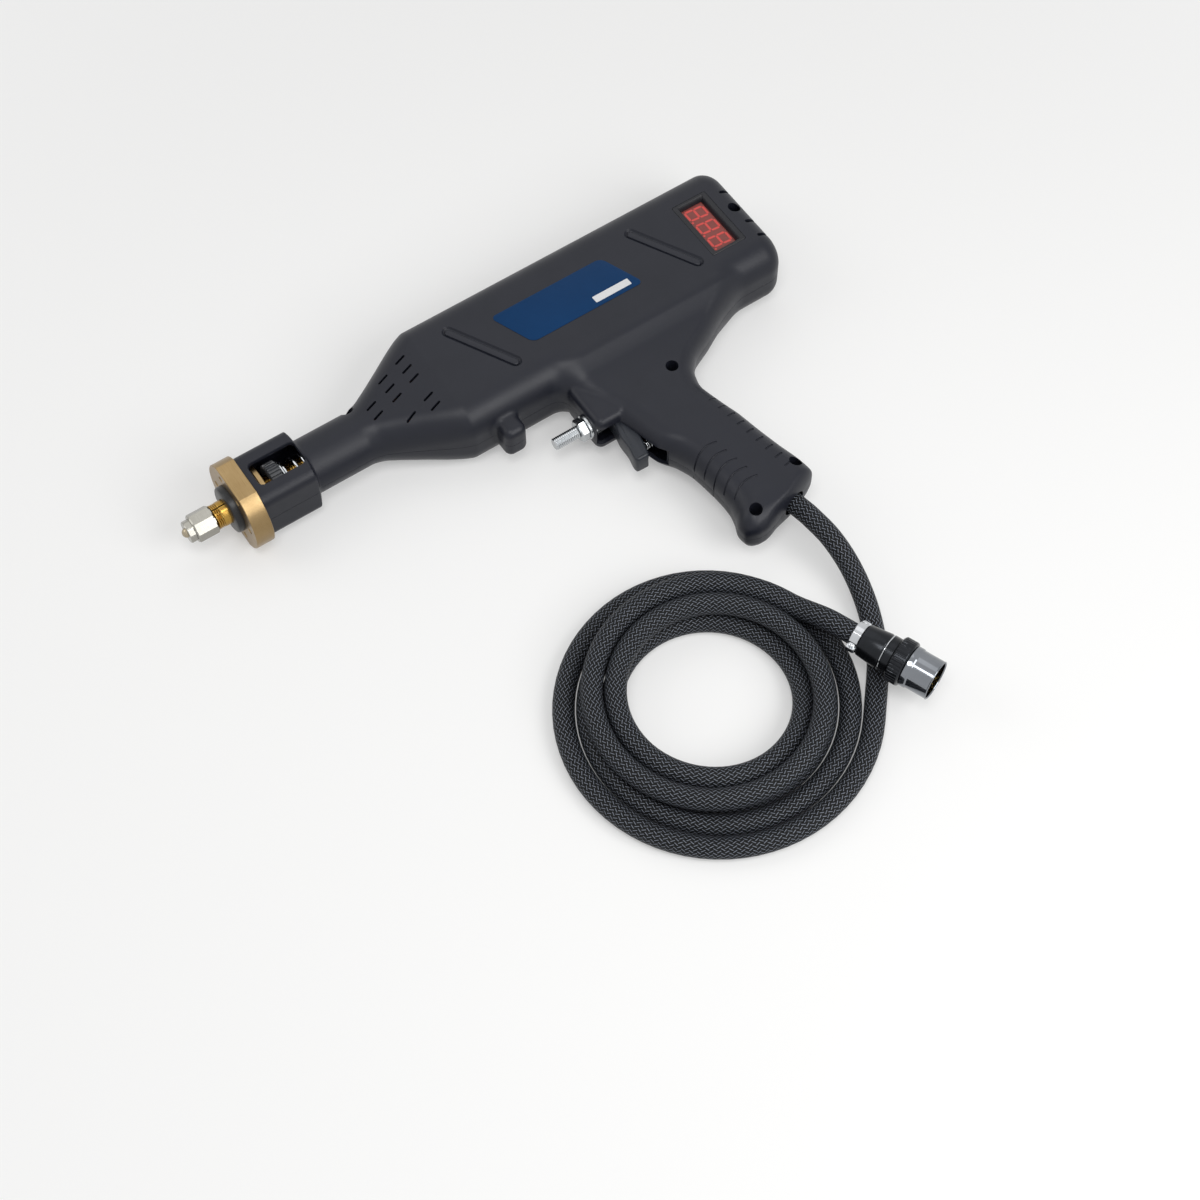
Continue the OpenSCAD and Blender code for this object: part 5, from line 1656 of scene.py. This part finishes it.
    def build(self) -> None:
        """Makes the nose's pieces."""
        self.flange_piece()
        self.electrode()
        self.chuck()
        self.adjuster()
        self.springs()


@dataclass
class Inside:
    """Transformer, bars, switch and the other pieces behind the shells."""

    link_line: tuple = ((93.6, 17.3), (93.6, 25), (93.9, 31.5), (96.5, 36.2), (108, 38.6), (122, 40.2),
                        (136, 40.7), (150, 40.8), (163, 40.8))
    link_steps: int = 60
    link_half: float = 7.0
    link_thick: float = 1.4
    link_moves: Point = (97.0, 0, 38)
    link_rests: Point = (148.0, 0, 41)

    def link(self) -> None:
        """The flexible copper link, a folded braid strap from the shaft's end up to the winding's tab."""
        knots, steps = np.array(self.link_line), self.link_steps
        line = np.column_stack([smooth_table(np.arange(float(len(knots))), column, steps)[1]
                                for column in knots.T])
        way = unit(np.gradient(line, axis=0))
        out = np.stack([-way[:, 1], way[:, 0]], axis=1)
        rows = []
        for side, face in ((-1, -1), (-1, 1), (1, 1), (1, -1)):
            spot = line + face * self.link_thick * out
            rows.append(np.column_stack([spot[:, 0], np.full(steps, side * self.link_half), spot[:, 1]]))
        strap = np.stack(rows, axis=1).reshape(-1, 3), grid_faces(steps, 4) + end_faces(steps, 4)
        piece = add_piece("flexible_link_strap", strap, Finishes.copper, "copper",
                          replaces=("flexible_link",), rides=False)
        frame_spot(*self.link_moves)
        frame_spot(*self.link_rests)
        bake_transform(piece)

    def build(self) -> None:
        """Dresses the inner pieces."""
        dress(Finishes.core, "transformer_core")
        dress(Finishes.winding, "primary_winding")
        dress(Finishes.copper, "secondary_winding", "earth_bar")
        dress(Finishes.switch, "microswitch")
        dress(Finishes.plunger, "switch_plunger")
        dress(Finishes.steel, "trigger_pin")
        self.link()


@dataclass
class Trigger:
    """The trigger and its spring. Shares give the lever's outline; levels its half thickness and inset."""

    pivot: tuple = (210.0, -72.0)
    depth: float = 14.0
    length: float = 39.5
    shares: tuple = ((-0.28, -0.05), (-0.38, 0.3), (-0.48, 0.5), (-0.5, 0.7), (-0.61, 0.93), (-0.54, 0.99),
                     (-0.04, 1), (0.17, 0.81), (0.31, 0.56), (0.38, 0.35), (0.31, 0.05), (0.05, -0.11))
    levels: Profile = ((7.0, 1.6), (6.7, 0.8), (6.1, 0.3), (5.2, 0.0))
    hollow: float = 0.25
    spring_axis: Axis = Axis((0, -101, AXIS_Z))
    spring_turns: tuple = (0, 1, 6, 7)
    spring_run: tuple = (214.4, 215.2, 224.4, 225.2)
    spring_reach: float = 2.6
    spring_wire: float = 0.4
    spring_end: float = 225.7
    spring_keep: float = 0.6

    def build(self) -> None:
        """A rounded lever with a hollowed front, and the small spring behind it."""
        knots = np.array(self.shares) * [self.depth, -self.length] + self.pivot
        closed = np.concatenate([knots, knots[:1]])
        reach = run_along(closed)
        outline = np.column_stack([smooth_table(reach, column, 120)[1] for column in closed.T])[:-1]
        levels = [(AXIS_Z - z, inset) for z, inset in self.levels] + [(AXIS_Z, self.hollow)]
        levels += [(AXIS_Z + z, inset) for z, inset in self.levels[::-1]]
        add_piece("trigger_lever", slab(outline, levels), Finishes.trigger, "trigger_plastic",
                  "trigger_arm", ("trigger",), 40)
        turn = np.linspace(self.spring_turns[0], self.spring_turns[-1], 210)
        run = np.interp(turn, self.spring_turns, self.spring_run)
        coil = self.spring_axis.place(run, np.full_like(run, self.spring_reach), turn * TURN)
        piece = add_piece("trigger_spring_coils", sweep(coil, self.spring_wire, 8, (1, 0, 0)),
                          Finishes.spring, "spring_steel", replaces=("trigger_spring",), angle=60)
        _, y, z = self.spring_axis.origin
        frame_spot(self.spring_end, y, z)
        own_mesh(piece)


@dataclass
class EarthTerminal:
    """The threaded stud with its nuts and washer in front of the hood. Profiles run along the stud."""

    stud_profile: Profile = (
        (169.5, 0), (169.5, 3.4), (170.1, 4.0), *thread(170.2, 186.0, 4.0, 1.25, 0.1), (186.2, 3.6),
        (186.3, 3.5), (202.2, 3.5), (202.5, 3.2), (202.5, 0))
    stud_threads: tuple = ((169.0, 186.4, 1.25, 0.55),)
    nut_places: tuple = (186.3, 196.2)
    nut_profile: Profile = ((0, 3.9), (0, 6.3), (0.7, 7.5), (4.5, 7.5), (5.2, 6.3), (5.2, 3.9), (4.8, 3.55),
                            (0.4, 3.55))
    nut_flat: float = 6.5
    nut_bore: float = 5.0
    washer: Profile = tuple(ring_profile(191.6, 193.4, 8, 3.55, 0.25))

    def build(self) -> None:
        """Makes the stud, both nuts and the washer."""
        stud = lathe(STUD_AXIS, self.stud_profile, 40, wave=thread_wave(self.stud_threads))
        add_piece("terminal_stud_threaded", stud, Finishes.steel, "bright_steel",
                  replaces=("terminal_stud",), angle=28)
        hexagon = prism_wave(6, self.nut_flat)

        def flats(s: Array, r: Array, angle: Array) -> Array:
            """A hexagon outside, round in the bore."""
            return np.where(r > self.nut_bore, hexagon(s, r, angle), r + 0 * angle)

        nuts = [lathe(STUD_AXIS, np.array(self.nut_profile) + [start, 0], 72, True, flats)
                for start in self.nut_places]
        add_piece("terminal_nut_pair", join_shapes(nuts), Finishes.steel, "bright_steel",
                  replaces=("terminal_nuts",), angle=7)
        add_piece("terminal_washer_ring", lathe(STUD_AXIS, self.washer, 56, True), Finishes.steel,
                  "bright_steel", replaces=("terminal_washer",))


# Lead and connector

def spline(points: Array, steps: int) -> Array:
    """A smooth curve through points, whose way at a point is half the step between its neighbours.

    Args:
        points: The points as rows; the ends count as their own neighbours.
        steps: Places on each stretch.

    Returns:
        The curve, without its last point.
    """
    padded = np.concatenate([points[:1], points, points[-1:]])
    t = (np.arange(steps) / steps)[None, :, None]
    a, b, c, d = (padded[k:k + len(points) - 1, None, :] for k in range(4))
    curve = (2 * b + (c - a) * t + (2 * a - 5 * b + 4 * c - d) * t ** 2
             + (3 * b - a - 3 * c + d) * t ** 3) / 2
    return curve.reshape(-1, 3)


@dataclass
class Lead:
    """The braided lead from the grip, its coil and the connector on its end.

    Places are in the frame, in millimetres. Profiles run along the connector or the gland.
    """

    diameter: float = 13.0
    sides: int = 28
    gland_face: Point = (105.4798, -104.2055, 25.0)
    gland_way: Point = (0.18665, -0.98243, 0.0)
    gland_profile: Profile = (
        (-16, 0), (-16, 7.6), (-15.6, 8.0), (-12, 8.0), (-12, 10), (-8, 10), (-8, 8.0), (-0.8, 8.0),
        (-0.2, 7.7), (0, 7.2), (0, 0))
    route: tuple = ((109, -124, 25), (111, -141, 23), (111, -160, 17), (107, -180, 11.5),
                    (100, -198, 8), (91, -214, 6.8))
    route_steps: int = 8
    centre: tuple = (-5.0, -185.0)
    start_angle: float = -40.0
    span: float = 1740.0
    coil_step: float = 5.0
    reach: float = 92.0
    pitch: float = 13.6
    turn_back: float = 1108.0
    climb: float = 180.0
    soft: float = 20.0
    floor: float = 6.6
    tail: float = 32.0
    tail_steps: int = 12
    connector_z: float = 27.0
    connector_way: Point = (0.369323, -0.929301, 0.0)
    clamp_profile: Profile = ((0, 6.6), (0, 7.9), (0.5, 8.5), (5.5, 8.5), (6, 7.9), (6, 0), (0, 0))
    clamp_middle: float = 3.0
    bar_size: tuple = (21.0, 6.0, 1.6)
    bar_levels: Profile = ((-2, 0.3), (-1.7, 0), (1.7, 0), (2, 0.3))
    clamp_screw_out: float = 7.5
    clamp_screw: Profile = ((-2, 0), (-2, 1.2), (2.1, 1.2), (2.1, 2.2), (3.0, 2.2), (3.5, 1.7), (3.7, 0.9),
                            (3.7, 0))
    backshell_profile: Profile = ((6, 0), (6, 9.2), (6.6, 9.7), (9, 10.0), (19.6, 11.2), (20.4, 11.0),
                                  (21, 10.7), (21, 0))
    line_profile: Profile = ((21, 0), (21, 11.1), (21.3, 11.4), (21.7, 11.4), (21.9, 11.2), (21.9, 0))
    neck_profile: Profile = ((21.9, 0), (21.9, 10.9), (22.2, 11.3), (26.6, 11.3), (27, 11.05), (27, 0))
    shell_profile: Profile = (
        (27, 0), (27, 11.05), (36.1, 11.05), (36.1, 12.0), (36.6, 12.5), (39.6, 12.5), (40.0, 12.35),
        (40.6, 12.0), (41.4, 12.0), (53.2, 12.0), (53.5, 12.3), (53.8, 12.2), (54, 11.8), (53.8, 11.4),
        (53.4, 11.2), (40, 11.2), (40, 0))
    coupling_profile: Profile = (
        (27.1, 11.1), (27.1, 12.8), (27.6, 13.5), (28.1, 13.9), (28.4, 13.9), (34.6, 13.9), (34.9, 13.9),
        (35.5, 13.5), (36, 12.8), (36, 11.1))
    knurls: int = 40
    knurl_depth: float = 0.4
    knurl_swell: float = 1.3
    knurl_band: tuple = (28.2, 34.8)
    knurl_core: float = 13.0
    insert_profile: Profile = ((40.05, 0), (40.05, 11.1), (42.9, 11.1), (43, 11.0), (43, 0))
    pins_round: int = 5
    pin_circle: float = 6.944
    pin_profile: Profile = ((41.0, 0), (41.0, 1.1), (48.0, 1.1), (48.6, 0.9), (48.9, 0.5), (49, 0))

    def coil_points(self, u: Array) -> Array:
        """The coil: reach shrinks by a pitch each turn, turns back softly and grows a layer higher.

        Args:
            u: Angle run through, in degrees.

        Returns:
            Points in the frame, in millimetres.
        """
        back = u - self.turn_back
        reach = self.reach - self.pitch * (self.turn_back - np.sqrt(back ** 2 + self.soft ** 2)) / 360
        t = np.clip(back / self.climb + 0.5, 0, 1)
        angle = np.radians(self.start_angle - u)
        return np.stack([self.centre[0] + reach * np.cos(angle), self.centre[1] + reach * np.sin(angle),
                         self.floor + self.pitch * t * t * (3 - 2 * t)], axis=-1)

    def path(self) -> Array:
        """The centre line: out of the gland, down to the floor, round the coil, up to the connector.

        It leaves the gland and comes on to the coil straight, for a diameter or more.

        Returns:
            Points in the frame, in millimetres.
        """
        face, out = np.array(self.gland_face), np.array(self.gland_way)
        begin = self.coil_points(np.array([-0.5, 0.0, 0.5]))
        way = (begin[2] - begin[0]) * [1, 1, 0]
        way /= np.linalg.norm(way)
        straight = begin[1] - self.diameter * way
        knots = np.concatenate([[face + self.diameter * out], np.array(self.route, float),
                                [straight - self.diameter * way]])
        free = np.concatenate([[face, face + 0.5 * self.diameter * out], spline(knots, self.route_steps),
                               knots[-1:], [straight]])
        coil = self.coil_points(np.arange(0, self.span + 0.1, self.coil_step))
        last = np.array(self.connector_way)
        k = (np.arange(1, self.tail_steps + 1) / self.tail_steps)[:, None]
        rise = k * k * (3 - 2 * k) * (self.connector_z - coil[-1, 2]) * np.array([0, 0, 1])
        tail = coil[-1] + k * self.tail * last + rise
        end = tail[-1] + self.diameter * last
        return np.concatenate([free, coil, tail, [(tail[-1] + end) / 2, end]])

    def cord(self, path: Array) -> bpy.types.Object:
        """The sleeve as a tube with its own UV: U is the length run in metres, V goes once round.

        Args:
            path: The centre line, in the frame, in millimetres.

        Returns:
            The object.
        """
        run = run_along(path) * MM
        i, j = np.meshgrid(np.arange(len(path) - 1), np.arange(self.sides), indexing="ij")
        u = np.stack([run[i], run[i + 1], run[i + 1], run[i]], axis=-1)
        v = np.stack([j, j, j + 1, j + 1], axis=-1) / self.sides
        flat = np.stack([u, v], axis=-1).reshape(-1, 2)
        ends = np.zeros((2 * self.sides, 2))
        return add_piece("braided_lead", sweep(path + GUN_ORIGIN, self.diameter / 2, self.sides),
                         Finishes.braid, "braid", replaces=("lead_tube", "lead_coil"), angle=50,
                         uv=np.concatenate([flat, ends]))

    def connector(self, end: Array) -> list[bpy.types.Object]:
        """The round connector along the lead's last way.

        Args:
            end: Where the lead meets it, in the frame, in millimetres.

        Returns:
            Its pieces.
        """
        way = self.connector_way
        axis = Axis(tuple(end + GUN_ORIGIN), way, (-way[1], way[0], 0))
        saddle = join_shapes([lathe(axis, self.clamp_profile, 48), self._clamp_bar(axis)])
        rows = [("connector_backshell_taper", lathe(axis, self.backshell_profile, 64), Finishes.backshell,
                 "backshell", "gun", ("connector_backshell",)),
                ("connector_clamp_saddle", saddle, Finishes.chrome, "connector_metal", "gun",
                 ("connector_clamp",)),
                ("clamp_screw_pair", self._clamp_screws(axis), Finishes.chrome, "connector_metal", "gun",
                 ("clamp_screws",))]
        for name, profile, finish in (("neck", self.neck_profile, Finishes.backshell),
                                      ("line", self.line_profile, Finishes.chrome),
                                      ("chrome", self.shell_profile, Finishes.dark_chrome)):
            rows.append((f"connector_shell_{name}", lathe(axis, profile, 72), finish, "connector_metal",
                         "gun", ("connector_shell",), 26))
        ring = lathe(axis, self.coupling_profile, self.knurls * 8, True, self._knurl)
        rows += [("coupling_ring_knurled", ring, Finishes.backshell, "connector_metal", "coupling",
                  ("coupling_ring",), 40),
                 ("connector_insert_disc", lathe(axis, self.insert_profile, 64), Finishes.insert,
                  "insert_plastic", "gun", ("connector_insert",)),
                 ("connector_pin_set", self._pins(axis), Finishes.gold, "gold", "gun",
                  ("connector_pins",))]
        return [add_piece(*row) for row in rows]

    def _knurl(self, s: Array, r: Array, angle: Array) -> Array:
        """Shallow flutes on the coupling ring's middle band: a cosine cut off at the lands."""
        band = (r > self.knurl_core) & (s > self.knurl_band[0]) & (s < self.knurl_band[1])
        return r - band * self.knurl_depth * np.clip(np.cos(angle * self.knurls) * self.knurl_swell, 0, 1)

    def _pins(self, axis: Axis) -> Shape:
        """Round-ended contacts, in a circle and one in its middle.

        Args:
            axis: The connector's axis.

        Returns:
            All of them.
        """
        angle = np.append(TURN * np.arange(self.pins_round) / self.pins_round, 0.0)
        radius = np.append(np.full(self.pins_round, self.pin_circle), 0.0)
        return join_shapes([lathe(replace(axis, origin=tuple(root)), self.pin_profile, 20)
                            for root in axis.place(0.0, radius, angle)])

    def _clamp_bar(self, axis: Axis) -> Shape:
        """The flat bar across the saddle that takes its two screws.

        Args:
            axis: The connector's axis.

        Returns:
            The bar.
        """
        origin, way, side = np.array(axis.origin), np.array(axis.way), np.array(axis.side)

        def stand(flat: Array, height: float) -> Array:
            """Flat points across and along the connector at a height."""
            along = (flat[:, 1:] + self.clamp_middle) * way
            return origin + flat[:, :1] * side + along + np.array([0, 0, height])

        return slab(rounded_outline(*self.bar_size), self.bar_levels, stand)

    def _clamp_screws(self, axis: Axis) -> Shape:
        """Two small pan heads with their shanks, on both sides of the connector's axis."""
        middle = np.array(axis.origin) + self.clamp_middle * np.array(axis.way)
        return join_shapes([lathe(upright(*(middle + out * np.array(axis.side))), self.clamp_screw, 24)
                            for out in (-self.clamp_screw_out, self.clamp_screw_out)])

    def gland(self) -> None:
        """The rubber gland in the grip's outlet, with a shallow rounded lip."""
        out = self.gland_way
        axis = Axis(tuple(np.array(self.gland_face) + GUN_ORIGIN), out, (-out[1], out[0], 0))
        add_piece("lead_gland_boot", lathe(axis, self.gland_profile, 48), Finishes.rubber, "gland_rubber",
                  replaces=("lead_gland",))

    def build(self) -> None:
        """Makes the cord first, then what is on it."""
        path = self.path()
        piece = self.cord(path)
        parts = self.connector(path[-1])
        self.gland()


# Studio

WHITE = (1.0, 1.0, 1.0, 1.0)


@dataclass
class Studio:
    """Camera at the photo's angle, soft lamps, pale floor and white surround.

    A lamp is its place, size and power. Measures are in metres.
    """

    place: Point = (-0.3933, -0.65625, 1.1776)
    right: Point = (0.8284, -0.5601, -0.00585)
    up: Point = (0.48727, 0.71547, 0.50068)
    back: Point = (-0.27624, -0.41762, 0.86561)
    lens: float = 69.19
    sensor: float = 36.0
    nearest: float = 0.01
    lamps: tuple = (((0.4, -1.0, 0.95), 0.9, 10.5), ((-0.35, -0.45, 1.6), 0.6, 8.0),
                    ((0.5, 0.75, 1.4), 1.3, 2.6), ((-0.8, 0.7, 0.8), 0.8, 2.5))
    aim: Point = (0.0, -0.03, 0.02)
    sky: float = 0.3
    floor_half: float = 4.0
    floor_colour: str = "#f1f1f0"
    floor_roughness: float = 0.9
    fade_start: float = 0.3
    fade_end: float = 1.3
    fade_least: float = 0.3

    @staticmethod
    def _stand(data: bpy.types.ID, axes: Sequence[Point], place: Point) -> bpy.types.Object:
        """Links a camera or a lamp, whose own axes are the columns of its matrix.

        Args:
            data: The camera or the lamp.
            axes: Its X, Y and Z.
            place: Where it stands.

        Returns:
            Its object.
        """
        turn = np.eye(4)
        turn[:3, :3] = np.stack(axes, axis=1)
        turn[:3, 3] = place
        made = bpy.data.objects.new(data.name, data)
        made.matrix_world = Matrix(turn.tolist())
        bpy.context.scene.collection.objects.link(made)
        return made

    def camera(self) -> None:
        """The camera at the photo's angle."""
        data = bpy.data.cameras.new("photo_camera")
        data.lens, data.sensor_width, data.clip_start = self.lens, self.sensor, self.nearest
        bpy.context.scene.camera = self._stand(data, (self.right, self.up, self.back), self.place)

    def lights(self) -> None:
        """Large square lamps that face the middle of the gun."""
        for k, (place, size, power) in enumerate(self.lamps):
            data = bpy.data.lights.new(f"soft_lamp_{k}", "AREA")
            data.shape, data.size, data.energy = "SQUARE", size, power
            back = unit(np.array(place) - self.aim)
            side = unit(np.cross([0, 0, 1], back))
            self._stand(data, (side, np.cross(back, side), back), place)

    def _seen(self, tree: bpy.types.NodeTree) -> Socket:
        """One where the camera sees the background, straight, in a gloss or through glass.

        Args:
            tree: The tree of the floor or the world.

        Returns:
            The socket that tells.
        """
        path = add_node(tree, "ShaderNodeLightPath")
        seen = path.outputs["Is Camera Ray"]
        for kind in ("Is Glossy Ray", "Is Transmission Ray"):
            seen = add_node(tree, "ShaderNodeMath", {0: seen, 1: path.outputs[kind]},
                            operation="MAXIMUM").outputs[0]
        return seen

    def surround(self) -> None:
        """White to the camera, in gloss and through glass; dimmer as a light."""
        world = bpy.data.worlds.new("studio")
        world.use_nodes = True
        tree = world.node_tree
        tree.nodes.clear()
        strength = add_node(tree, "ShaderNodeMapRange", {0: self._seen(tree), 3: self.sky, 4: 1.0})
        sky = add_node(tree, "ShaderNodeBackground", {"Color": WHITE, "Strength": strength.outputs[0]})
        add_node(tree, "ShaderNodeOutputWorld", {"Surface": sky.outputs[0]})
        bpy.context.scene.world = world

    def floor(self) -> None:
        """A pale matt floor that keeps the shadow and fades to white far out."""
        mesh = bpy.data.meshes.new("studio_floor")
        half = self.floor_half
        mesh.from_pydata([(-half, -half, 0), (half, -half, 0), (half, half, 0), (-half, half, 0)], [],
                         [(0, 1, 2, 3)])
        made = bpy.data.materials.new("pale_studio_floor")
        made.use_nodes = True
        tree = made.node_tree
        tree.nodes.clear()
        shader = add_node(tree, "ShaderNodeBsdfPrincipled", {"Base Color": linear(self.floor_colour),
                                                             "Roughness": self.floor_roughness})
        glow = add_node(tree, "ShaderNodeEmission", {"Color": WHITE, "Strength": 1.0})
        spot = add_node(tree, "ShaderNodeTexCoord").outputs["Object"]
        reach = add_node(tree, "ShaderNodeVectorMath", {0: spot}, operation="LENGTH").outputs["Value"]
        fade = add_node(tree, "ShaderNodeMapRange", interpolation_type="SMOOTHSTEP",
                        inputs={0: reach, 1: self.fade_start, 2: self.fade_end, 3: self.fade_least, 4: 1.0})
        share = add_node(tree, "ShaderNodeMath", {0: self._seen(tree), 1: fade.outputs[0]},
                         operation="MULTIPLY")
        both = add_node(tree, "ShaderNodeMixShader",
                        {0: share.outputs[0], 1: shader.outputs[0], 2: glow.outputs[0]})
        add_node(tree, "ShaderNodeOutputMaterial", {"Surface": both.outputs[0]})
        mesh.materials.append(made)
        ground = bpy.data.objects.new("studio_floor", mesh)
        bpy.context.scene.collection.objects.link(ground)

    def build(self) -> None:
        """Sets up the studio and the plain view transform."""
        self.camera()
        self.lights()
        self.surround()
        self.floor()
        bpy.context.scene.view_settings.view_transform = "Standard"


def main() -> None:
    """Builds the studio, the lead and every sub-assembly."""
    logging.basicConfig(level=logging.INFO, format="%(message)s")
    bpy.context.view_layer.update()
    Studio().build()
    for part in (Lead(), Housing(), Display(), Nose(), Inside(), Trigger(), EarthTerminal()):
        part.build()
    bpy.context.view_layer.update()


if __name__ == "__main__":
    main()
